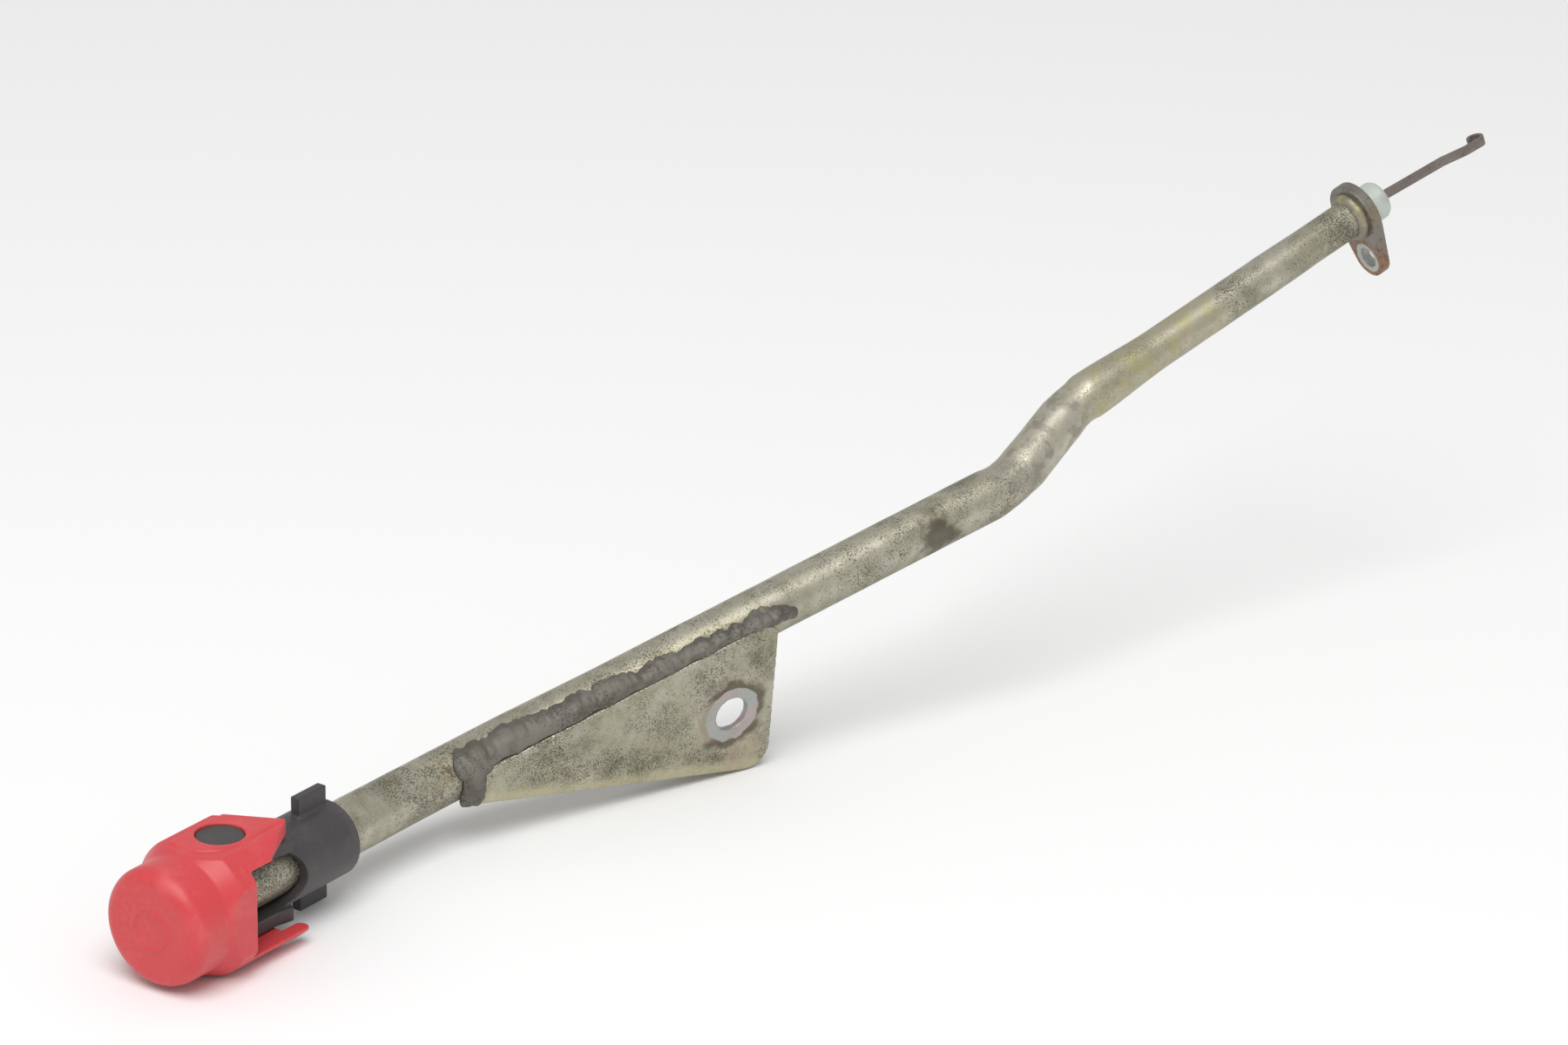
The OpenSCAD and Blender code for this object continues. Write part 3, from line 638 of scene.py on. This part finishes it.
def zinc_finish(name, finish, specks, olive_low):
    """Aged yellow zinc: beige metal with olive patches, dense dark pits, pale wear and painted shade
    on faces that look down.
    """
    made = Finish(name, finish.zinc, 0.72, 0.40, Specular_IOR_Level=0.5)
    olive = made.group("Patches", Scale=38.0, Low=olive_low, High=0.66)
    made.tint(olive, finish.olive, 0.7)
    pale = made.group("Patches", Scale=70.0, Low=0.5, High=0.68)
    made.tint(pale, COLOURS["pale zinc"], 0.55)
    haze = made.group("Patches", Scale=300.0, Low=0.42, High=0.72)
    made.tint(haze, COLOURS["olive haze"], 0.5)
    blotch = made.group("Patches", Scale=120.0, Low=0.56, High=0.72)
    made.tint(blotch, COLOURS["brown blotch"], 0.5)
    pits = made.group("Speckle", Scale=2300.0, Amount=specks, Patch_Scale=62.0)
    made.tint(pits, COLOURS["dark pit"])
    fine = made.group("Speckle", Scale=4300.0, Amount=specks * 0.8, Patch_Scale=140.0)
    made.tint(fine, COLOURS["fine pit"])
    # Painted shade: faces that look down are darkened, standing in for the shade under the piece.
    made.tint(made.group("Underside", source="Normal"), COLOURS["painted shade zinc"], 0.6)
    made.roughen(haze, 0.34, 0.54)
    grain = made.group("Grain", Fine_Scale=2600.0, Wave_Scale=350.0, Wave_Share=0.45)
    made.bump((grain, 0.35, 0.0003), (pits, 0.5, -0.0002))
    return made


def plastic_finish(name, colour, worn, rough, amount):
    """Moulded plastic with a soft sheen and rubbed patches."""
    made = Finish(name, colour, 0.0, rough, Specular_IOR_Level=0.45)
    rubbed = made.group("Patches", Scale=90.0, Low=0.5, High=0.75)
    made.tint(rubbed, worn, amount)
    dust = made.group("Speckle", Scale=700.0, Amount=0.25, Patch_Scale=80.0)
    made.tint(dust, worn, 0.4)
    made.roughen(rubbed, rough - 0.05, rough + 0.12)
    grain = made.group("Grain", Fine_Scale=1600.0, Wave_Scale=260.0, Wave_Share=0.6)
    made.bump((grain, 0.12, 0.0002))
    return made


def tube_finish(finish):
    """The tube's zinc, scorched on its run, bared at the elbows and heated along the weld."""
    tube = zinc_finish("Tube Zinc", finish, 0.85, 0.46)
    burnt = tube.group("Ring Mark", Centre=BEND + 0.148 * RUN, Axis=PLATE_OUT, Radius=0.0075,
                       Edge=0.004, Ragged=0.013, Ragged_Scale=230.0)
    tube.tint(burnt, COLOURS["scorch"], 0.8)
    bared = tube.group("Ring Mark", Centre=(ELBOW_A + ELBOW_B) / 2 + 0.003 * MIDDLE,
                       Axis=PLATE_OUT, Radius=0.021, Edge=0.008, Ragged=0.016,
                       Ragged_Scale=110.0)
    tube.tint(bared, COLOURS["bared zinc"], 0.5)
    scraped = tube.group("Patches", Scale=210.0, Low=0.47, High=0.6)
    tube.tint(tube.both(bared, scraped), COLOURS["scraped zinc"], 0.55)
    tone = tube.group("Ring Mark", Centre=ELBOW_B + 0.024 * LOWER, Axis=PLATE_OUT,
                      Radius=0.030, Edge=0.012, Ragged=0.012, Ragged_Scale=90.0)
    tube.tint(tone, COLOURS["straw"], 0.4)
    tube.tint(tube.both(tone, scraped), COLOURS["deep straw"], 0.6)
    seam = tube.group("Ring Mark", Centre=PLATE_FRAME @ Vector((0.05, -0.0058, 0.0060)),
                      Axis=RUN, Radius=0.0046, Edge=0.003, Ragged=0.004, Ragged_Scale=420.0)
    near = tube.group("Ring Mark", Centre=PLATE_FRAME @ Vector((0.050, 0.0, 0.0)),
                      Axis=PLATE_OUT, Radius=0.051, Edge=0.004, Ragged=0.010,
                      Ragged_Scale=160.0)
    heated = tube.both(seam, near)
    spatter = tube.group("Speckle", Scale=1500.0, Amount=1.0, Patch_Scale=90.0)
    tube.tint(heated, COLOURS["heated zinc"], 0.55)
    tube.tint(tube.both(heated, spatter), COLOURS["spatter"], 0.85)
    return tube


def plate_finish(finish):
    """The bracket's zinc, with a painted highlight along its folded edge, rubbed places and the nut's
    bearing mark.
    """
    plate = zinc_finish("Bracket Zinc", finish, 0.95, 0.40)
    hole = MOUNTS["bracket_bolt_hole"]
    slope = math.radians(22.9)
    rim = on_plate(math.cos(slope), 0.0, -math.sin(slope))
    # Painted highlight: a pale band along the folded edge, standing in for the light that the curved
    # edge catches.
    rolled = plate.group("Ring Mark", Centre=PLATE_FRAME @ Vector((0.009, -0.0088, -0.0053)),
                         Axis=rim, Radius=0.0048, Edge=0.0034, Ragged=0.002,
                         Ragged_Scale=240.0)
    plate.tint(rolled, COLOURS["painted rim highlight"], 0.62)
    below = plate.group("Ring Mark", Centre=hole + on_plate(0.001, 0.0, -0.0125),
                        Axis=PLATE_OUT, Radius=0.0070, Edge=0.0040, Ragged=0.007,
                        Ragged_Scale=200.0)
    plate.tint(below, COLOURS["pink rub"], 0.5)
    beside = plate.group("Ring Mark", Centre=hole + on_plate(-0.0055, 0.0, 0.001),
                         Axis=PLATE_OUT, Radius=0.0066, Edge=0.0020, Ragged=0.005,
                         Ragged_Scale=220.0)
    halo = plate.group("Ring Mark", Centre=hole, Axis=PLATE_OUT, Radius=0.0108, Edge=0.0024,
                       Ragged=0.0065, Ragged_Scale=240.0)
    plate.tint(halo, COLOURS["grime"], 0.85)
    plate.tint(beside, COLOURS["tan rub"], 0.6)
    seat = plate.group("Ring Mark", Centre=hole, Axis=PLATE_OUT, Radius=0.0078, Edge=0.0005,
                       Ragged=0.0026, Ragged_Scale=300.0)
    plate.tint(seat, COLOURS["bearing mark"], 0.9)
    bloom = plate.group("Patches", Scale=150.0, Low=0.44, High=0.58)
    plate.tint(plate.both(seat, bloom), COLOURS["rose bloom"], 0.5)
    sheen = plate.group("Patches", Scale=190.0, Low=0.5, High=0.6)
    plate.tint(plate.both(seat, sheen), COLOURS["teal sheen"], 0.5)
    return plate


def weld_finish(finish):
    """Dull grey weld with ash and soot."""
    weld = Finish("Weld Bead", finish.weld, 0.45, 0.5)
    ash = weld.group("Patches", Scale=120.0, Low=0.42, High=0.62)
    weld.tint(ash, COLOURS["weld ash"], 0.8)
    soot = weld.group("Speckle", Scale=1500.0, Amount=0.8, Patch_Scale=90.0)
    weld.tint(soot, COLOURS["weld soot"], 0.8)
    weld.roughen(ash, 0.48, 0.68)
    grain = weld.group("Grain", Fine_Scale=1500.0, Wave_Scale=420.0, Wave_Share=0.5)
    weld.bump((grain, 0.4, 0.0003))
    return weld


def flange_finish(finish):
    """Heat-tinted flange steel, rusted at the lug's tip and bare under the bolt's head."""
    flange = Finish("Flange Steel", COLOURS["flange steel"], 0.6, 0.42)
    blue = flange.group("Patches", Scale=80.0, Low=0.45, High=0.62)
    flange.tint(blue, COLOURS["blued steel"], 0.8)
    tan = flange.group("Patches", Scale=120.0, Low=0.48, High=0.66)
    flange.tint(tan, COLOURS["tanned steel"], 0.75)
    tip = FLANGE_FRAME @ Vector((0.0, 0.0, -0.0150))
    corroded = flange.group("Ring Mark", Centre=tip, Axis=LOWER, Radius=0.0105, Edge=0.005,
                            Ragged=0.006, Ragged_Scale=180.0)
    flange.tint(corroded, finish.rust, 0.7)
    spots = flange.group("Speckle", Scale=600.0, Amount=0.7, Patch_Scale=110.0)
    flange.tint(spots, COLOURS["rust pit"], 0.8)
    bare = flange.group("Ring Mark", Centre=MOUNTS["flange_bolt_hole"], Axis=LOWER,
                        Radius=0.0043, Edge=0.0003, Ragged=0.0004, Ragged_Scale=400.0)
    flange.tint(bare, COLOURS["bare lug"], 0.9)
    flange.roughen(blue, 0.36, 0.55)
    grain = flange.group("Grain", Fine_Scale=1500.0, Wave_Scale=330.0, Wave_Share=0.5)
    flange.bump((grain, 0.35, 0.0003), (spots, 0.4, -0.0002))
    return flange


def braze_finish():
    """Dull brass with grey and golden patches."""
    braze = Finish("Braze", COLOURS["braze"], 0.5, 0.48)
    grey = braze.group("Patches", Scale=170.0, Low=0.42, High=0.6)
    braze.tint(grey, COLOURS["grey braze"], 0.85)
    golden = braze.group("Patches", Scale=230.0, Low=0.5, High=0.64)
    braze.tint(golden, COLOURS["golden braze"], 0.7)
    pits = braze.group("Speckle", Scale=1600.0, Amount=0.7, Patch_Scale=130.0)
    braze.tint(pits, COLOURS["braze pit"], 0.8)
    grain = braze.group("Grain", Fine_Scale=1300.0, Wave_Scale=500.0, Wave_Share=0.6)
    braze.bump((grain, 0.3, 0.0003))
    return braze


def blade_finish():
    """Brown spring steel with fine pits."""
    blade = Finish("Blade Steel", COLOURS["blade steel"], 0.55, 0.45)
    pale = blade.group("Patches", Scale=140.0, Low=0.42, High=0.64)
    blade.tint(pale, COLOURS["pale blade"], 0.8)
    pits = blade.group("Speckle", Scale=1500.0, Amount=0.5, Patch_Scale=120.0)
    blade.tint(pits, COLOURS["blade pit"], 0.8)
    grain = blade.group("Grain", Fine_Scale=2200.0, Wave_Scale=600.0, Wave_Share=0.4)
    blade.bump((grain, 0.2, 0.0002))
    return blade


def patched_finish(name, base, patch, metallic, rough, patches, share, grain, strength):
    """A small piece's finish: one colour with patches of another and a fine grain."""
    made = Finish(name, COLOURS[base], metallic, rough)
    scale, low, high = patches
    made.tint(made.group("Patches", Scale=scale, Low=low, High=high), COLOURS[patch], share)
    fine, wave, wave_share = grain
    height = made.group("Grain", Fine_Scale=fine, Wave_Scale=wave, Wave_Share=wave_share)
    made.bump((height, strength, 0.0002))
    return made


def make_finishes(finish):
    """Builds the shared groups and every material once."""
    for shared in (speckle_group, patch_group, ring_group, grain_group, underside_group):
        shared()
    made = {
        "red": plastic_finish("Red Plastic", finish.red, COLOURS["worn red"], 0.42, 0.35),
        "black": plastic_finish("Black Plastic", finish.black, COLOURS["worn black"], 0.48, 0.5),
        "tube": tube_finish(finish),
        "plate": plate_finish(finish),
        "weld": weld_finish(finish),
        "flange": flange_finish(finish),
        "braze": braze_finish(),
        "blade": blade_finish(),
        "bush": patched_finish("Bushing", "bushing", "stained bushing", metallic=0.25, rough=0.42,
                               patches=(160.0, 0.45, 0.7), share=0.7,
                               grain=(1500.0, 400.0, 0.5), strength=0.15),
        "seal": patched_finish("Seal Rubber", "rubber", "dusty rubber", metallic=0.0, rough=0.55,
                               patches=(260.0, 0.5, 0.8), share=0.6,
                               grain=(1500.0, 400.0, 0.5), strength=0.15),
        "inner": patched_finish("Inner Steel", "inner steel", "oily steel", metallic=0.85,
                                rough=0.35, patches=(200.0, 0.45, 0.7), share=0.6,
                                grain=(2500.0, 700.0, 0.4), strength=0.12),
    }
    return {key: item.done() for key, item in made.items()}


# The pieces, one operator for each


class BuildMaterials(bpy.types.Operator):
    """Build the aged finishes of the part"""

    bl_idname = "dipstick.materials"
    bl_label = "Finishes"

    def execute(self, context):
        for key, made in make_finishes(context.scene.dipstick_finish).items():
            made["dipstick"] = key
        return {"FINISHED"}


def material(key):
    """The finish that was built under this key."""
    return next(m for m in bpy.data.materials if m.get("dipstick") == key)


RIPPLE_BEND = 0.2
RIPPLE_RATE = 952.4  # radians of the wave for each metre of tube
RIPPLE_PATCHES = 260.0
CRIMP_START = 0.030
CRIMP_LEN = 0.018
CRIMP_SHARE = 0.020
CRIMP_SIDES = 4
CRIMP_TURN = 0.5  # radians
DENT_DEPTH = 0.00005
DENT_PATCHES = 120.0


def sweep_tube(stations):
    """Round tube along the stations, as a mesh with one ring at each."""
    bpy.ops.curve.primitive_nurbs_path_add(location=(0, 0, 0))
    drawn = bpy.context.object
    drawn.data.splines.clear()
    spline = drawn.data.splines.new("POLY")
    spline.points.add(len(stations) - 1)
    for point, (place, _, radius, _) in zip(spline.points, stations):
        point.co = (*place, 1.0)
        point.radius = radius / MM
    drawn.data.dimensions = "3D"
    drawn.data.twist_mode = "Z_UP"
    drawn.data.bevel_depth = MM
    drawn.data.bevel_resolution = 12
    pick(drawn)
    bpy.ops.object.convert(target="MESH")
    return named("guide_tube_swept")


def press_tube(piece, stations, tube):
    """Flattens and ripples the elbows, crimps the lower end and dents the rest a little."""
    tree = station_tree(stations)
    for vertex in piece.data.vertices:
        place, way, _, bend = stations[tree.find(vertex.co)[1]]
        off = vertex.co - place
        up = way.cross(Vector((0, 0, 1)).cross(way)).normalized()
        rise = off.dot(up)
        off -= up * rise * bend * tube.flattening
        if bend > RIPPLE_BEND:
            along = (vertex.co - ELBOW_A).dot(MIDDLE)
            wave = math.sin(RIPPLE_RATE * along) * noise.noise(vertex.co * RIPPLE_PATCHES)
            off -= off.normalized() * tube.ripple * bend * wave
        to_end = (FLANGE - vertex.co).dot(LOWER)
        if to_end < CRIMP_START:
            angle = math.atan2(rise, off.dot(way.cross(up)))
            press = CRIMP_SHARE * ease((CRIMP_START - to_end) / CRIMP_LEN)
            off *= 1.0 - press * (1 - math.cos(CRIMP_SIDES * angle + CRIMP_TURN))
        off += off.normalized() * DENT_DEPTH * noise.noise(vertex.co * DENT_PATCHES)
        vertex.co = place + off


class BuildTube(bpy.types.Operator):
    """Draw the guide tube along its bends, with its swages and pressed elbows"""

    bl_idname = "dipstick.tube"
    bl_label = "Guide tube"

    def execute(self, context):
        tube = context.scene.dipstick_tube
        stations = tube_stations(tube)
        piece = sweep_tube(stations)
        press_tube(piece, stations, tube)
        modify(piece, "SOLIDIFY", thickness=tube.wall, offset=-1.0, use_even_offset=False)
        tidy(piece)
        smooth(piece, 50.0)
        dress(piece, "tube_body", material("tube"), "zinc_steel", "guide_tube")
        return {"FINISHED"}


class BuildCap(bpy.types.Operator):
    """Mould the red lever cap, with softened edges and the plain ring on its end"""

    bl_idname = "dipstick.cap"
    bl_label = "Lever cap"

    def execute(self, context):
        piece = copy_node("lever_cap", "lever_cap_moulded")
        moulded(piece, voxel=0.00030, rounds=3)
        dress(piece, "lever", material("red"), "red_plastic", "lever_cap")
        return {"FINISHED"}


class BuildYoke(bpy.types.Operator):
    """Mould the black yoke and its collar"""

    bl_idname = "dipstick.yoke"
    bl_label = "Yoke and collar"

    def execute(self, context):
        piece = copy_node("yoke_collar", "yoke_collar_moulded")
        moulded(piece, voxel=0.00030, rounds=3)
        dress(piece, "tube_body", material("black"), "black_plastic", "yoke_collar")
        return {"FINISHED"}


class BuildBracket(bpy.types.Operator):
    """Press the bracket from sheet, with its soft folded rim and bolt hole"""

    bl_idname = "dipstick.bracket"
    bl_label = "Bracket"

    def execute(self, context):
        piece = copy_node("mounting_bracket", "mounting_bracket_pressed")
        moulded(piece, voxel=0.00036, rounds=6)
        dress(piece, "tube_body", material("plate"), "zinc_steel", "mounting_bracket")
        return {"FINISHED"}


# Each lump's place in the bracket's frame and its radius, in millimetres
WELD_LUMPS = (
    (10.2, -7.4, 3.4, 3.0), (10.4, -7.6, 1.2, 2.9), (10.2, -7.6, -1.0, 2.7), (9.8, -7.7, -2.9, 2.4),
    (9.4, -7.7, -4.4, 1.8), (13.5, -7.2, 3.6, 2.5), (95.5, -7.0, 3.8, 2.5), (98.4, -7.0, 3.6, 2.5),
    (101.2, -6.6, 2.6, 2.2), (103.6, -6.2, 1.2, 1.7), (96.6, -5.8, 6.0, 1.5))
WELD_LEN = 0.1
WELD_FOOT = math.radians(21.0)
WELD_BLEND = math.radians(27.0)
WELD_SPREAD = 1.25
WELD_RAGGED = 0.38
WELD_FLATTEN = 0.55
WELD_SINK = 0.0004
WELD_ROUGH = 0.00022


def spread_weld(piece, stations):
    """Spreads the bead over the tube with a ragged edge, then roughens it."""
    tree = station_tree(stations)
    for vertex in piece.data.vertices:
        place, _, radius, _ = stations[tree.find(vertex.co)[1]]
        off = vertex.co - place
        run = (vertex.co - BEND).dot(RUN) / WELD_LEN
        front, up = off.dot(PLATE_OUT), off.dot(PLATE_UP)
        angle, out = math.atan2(up, front), math.hypot(front, up)
        if angle > WELD_FOOT:
            share = min(1.0, (angle - WELD_FOOT) / WELD_BLEND)
            ragged = noise.noise(Vector((run * 26.0, 0.3, 0.0)))
            ragged += 0.6 * noise.noise(Vector((run * 75.0, 2.3, 0.0)))
            spread = 1.0 + WELD_SPREAD * (1.0 - ease(run)) + WELD_RAGGED * ragged
            angle = WELD_FOOT + (angle - WELD_FOOT) * spread
            out = radius + (out - radius) * (1.0 - WELD_FLATTEN * share)
        out = max(out, radius - WELD_SINK)
        vertex.co += (PLATE_OUT * (out * math.cos(angle) - front)
                      + PLATE_UP * (out * math.sin(angle) - up))
        lump = noise.noise(vertex.co * 300.0) + 0.5 * noise.noise(vertex.co * 800.0)
        vertex.co += vertex.normal * WELD_ROUGH * lump


class BuildWeld(bpy.types.Operator):
    """Lay the weld bead along the bracket's top edge and spread it on to the tube"""

    bl_idname = "dipstick.weld"
    bl_label = "Weld bead"

    def execute(self, context):
        piece = copy_node("bracket_weld", "bracket_weld_bead")
        lumps = []
        for x, y, z, radius in WELD_LUMPS:
            bpy.ops.mesh.primitive_ico_sphere_add(
                subdivisions=3, radius=radius * MM, location=PLATE_FRAME @ (MM * Vector((x, y, z))))
            lumps.append(settle(bpy.context.object))
        pick(piece, *lumps)
        bpy.ops.object.join()
        moulded(piece, voxel=0.00034, rounds=4)
        spread_weld(piece, tube_stations(context.scene.dipstick_tube))
        dress(piece, "tube_body", material("weld"), "weld_steel", "bracket_weld")
        return {"FINISHED"}


BRAZE_BACK = 0.0006
BRAZE_RING_R = 0.0049
BRAZE_BEAD_R = 0.0017
BRAZE_ROUGH = 0.00032


class BuildFlange(bpy.types.Operator):
    """Cut the end flange with its lug, and lay the brass fillet round the tube"""

    bl_idname = "dipstick.flange"
    bl_label = "End flange"

    def execute(self, context):
        flange = copy_node("lower_flange", "lower_flange_cut")
        moulded(flange, voxel=0.00022, rounds=4)
        dress(flange, "tube_body", material("flange"), "flange_steel", "lower_flange")
        ring = (FLANGE_FRAME @ Matrix.Translation((-BRAZE_BACK, 0.0, 0.0))
                @ Matrix.Rotation(math.radians(90), 4, "Y"))
        bpy.ops.mesh.primitive_torus_add(
            location=ring.to_translation(), rotation=ring.to_euler(), major_radius=BRAZE_RING_R,
            minor_radius=BRAZE_BEAD_R, major_segments=96, minor_segments=20)
        braze = settle(named("flange_braze_fillet"))
        for vertex in braze.data.vertices:
            vertex.co += vertex.normal * BRAZE_ROUGH * noise.noise(vertex.co * 380.0)
        smooth(braze, 60.0)
        dress(braze, "tube_body", material("braze"), "braze_brass", "flange_braze")
        return {"FINISHED"}


class BuildBushing(bpy.types.Operator):
    """Turn the pale bushing at the gearbox end"""

    bl_idname = "dipstick.bushing"
    bl_label = "End bushing"

    def execute(self, context):
        piece = copy_node("end_bushing", "end_bushing_turned")
        moulded(piece, voxel=0.00018, rounds=3)
        dress(piece, "tube_body", material("bush"), "bushing_plastic", "end_bushing")
        return {"FINISHED"}


class BuildBlade(bpy.types.Operator):
    """Bend the dipstick blade with its step and folded loop"""

    bl_idname = "dipstick.blade"
    bl_label = "Blade"

    def execute(self, context):
        piece = copy_node("dipstick_blade", "dipstick_blade_bent")
        modify(piece, "BEVEL", width=0.00014, segments=2, limit_method="ANGLE",
               angle_limit=math.radians(40))
        smooth(piece, 30.0)
        dress(piece, "tube_body", material("blade"), "blade_steel", "dipstick_blade")
        return {"FINISHED"}


CARRIED_NODES = {
    "seal": ("seal_ring", "rubber_plug"),
    "inner": ("thrust_button", "pull_rod", "upper_plug_washer", "lower_plug_washer", "rod_nut",
              "shaft_socket", "blade_ferrule"),
    "blade": ("flexible_shaft",),
}


class DressInner(bpy.types.Operator):
    """Give the hidden inner pieces and the seal their finishes"""

    bl_idname = "dipstick.inner"
    bl_label = "Inner pieces"

    def execute(self, context):
        for key, nodes in CARRIED_NODES.items():
            for node in nodes:
                mesh = frame["nodes"][node].data
                mesh.materials.clear()
                mesh.materials.append(material(key))
        return {"FINISHED"}


FLOOR_SIZE = 8.0
FLOOR_DROP = 0.0002
LAMP_PLACE = Vector((-0.9, -0.5, 1.9))
LAMP_AIM = Vector((0.0, 0.0, 0.03))
LAMP_SIZE = 1.6
CAMERA_PLACE = (-1.28998, -0.91183, 0.72430)
CAMERA_TURN = tuple(math.radians(angle) for angle in (67.2481, -0.8417, -53.9554))
FILM_WIDTH = 36.0


class BuildStage(bpy.types.Operator):
    """Set the pale floor, the soft light and the camera"""

    bl_idname = "dipstick.stage"
    bl_label = "Stage"

    def execute(self, context):
        stage = context.scene.dipstick_stage
        bpy.ops.object.select_all(action="DESELECT")
        bpy.ops.mesh.primitive_plane_add(size=FLOOR_SIZE, location=(0, 0, -FLOOR_DROP))
        floor = settle(named("floor"))
        paint = Finish("Pale Floor", stage.floor_colour, 0.0, 0.9, Specular_IOR_Level=0.1)
        floor.data.materials.append(paint.done())

        world = bpy.data.worlds.new("Even Light")
        world.use_nodes = True
        sky = world.node_tree.nodes["Background"]
        sky.inputs["Color"].default_value = (1.0, 1.0, 1.0, 1.0)
        sky.inputs["Strength"].default_value = stage.sky
        context.scene.world = world

        bpy.ops.object.light_add(type="AREA", location=LAMP_PLACE)
        lamp = bpy.context.object
        lamp.name = "soft_lamp"
        lamp.data.shape = "DISK"
        lamp.data.size = LAMP_SIZE
        lamp.data.energy = stage.lamp
        lamp.rotation_euler = (LAMP_AIM - LAMP_PLACE).to_track_quat("-Z", "Y").to_euler()

        bpy.ops.object.camera_add(location=CAMERA_PLACE)
        camera = bpy.context.object
        camera.name = "photo_camera"
        camera.rotation_euler = Euler(CAMERA_TURN, "XYZ")
        camera.data.sensor_width = FILM_WIDTH
        camera.data.lens = stage.focal_length
        camera.data.clip_start = 0.05
        context.scene.camera = camera
        context.scene.view_settings.view_transform = "Standard"
        return {"FINISHED"}


class DipstickPanel(bpy.types.Panel):
    """Lists the dipstick's pieces in build order"""

    bl_idname = "VIEW3D_PT_dipstick"
    bl_label = "Dipstick"
    bl_space_type = "VIEW_3D"
    bl_region_type = "UI"
    bl_category = "Dipstick"

    def draw(self, context):
        layout = self.layout
        for group in ("dipstick_tube", "dipstick_finish", "dipstick_stage"):
            settings = getattr(context.scene, group)
            box = layout.box()
            for key in settings.__annotations__:
                box.prop(settings, key)
        for step in STEPS:
            layout.operator(step.bl_idname)


STEPS = (BuildStage, BuildMaterials, BuildTube, BuildCap, BuildYoke, BuildBracket, BuildWeld,
         BuildFlange, BuildBushing, BuildBlade, DressInner)
CLASSES = (TubeSettings, FinishSettings, StageSettings, *STEPS, DipstickPanel)


def register():
    """Registers the classes and hangs the settings on the scene."""
    for item in CLASSES:
        bpy.utils.register_class(item)
    bpy.types.Scene.dipstick_tube = bpy.props.PointerProperty(type=TubeSettings)
    bpy.types.Scene.dipstick_finish = bpy.props.PointerProperty(type=FinishSettings)
    bpy.types.Scene.dipstick_stage = bpy.props.PointerProperty(type=StageSettings)


def unregister():
    """Takes the settings and the classes away again."""
    del bpy.types.Scene.dipstick_stage
    del bpy.types.Scene.dipstick_finish
    del bpy.types.Scene.dipstick_tube
    for item in reversed(CLASSES):
        bpy.utils.unregister_class(item)


def main():
    """Builds the whole part."""
    register()
    for step in STEPS:
        family, action = step.bl_idname.split(".")
        getattr(getattr(bpy.ops, family), action)()


if __name__ == "__main__":
    main()
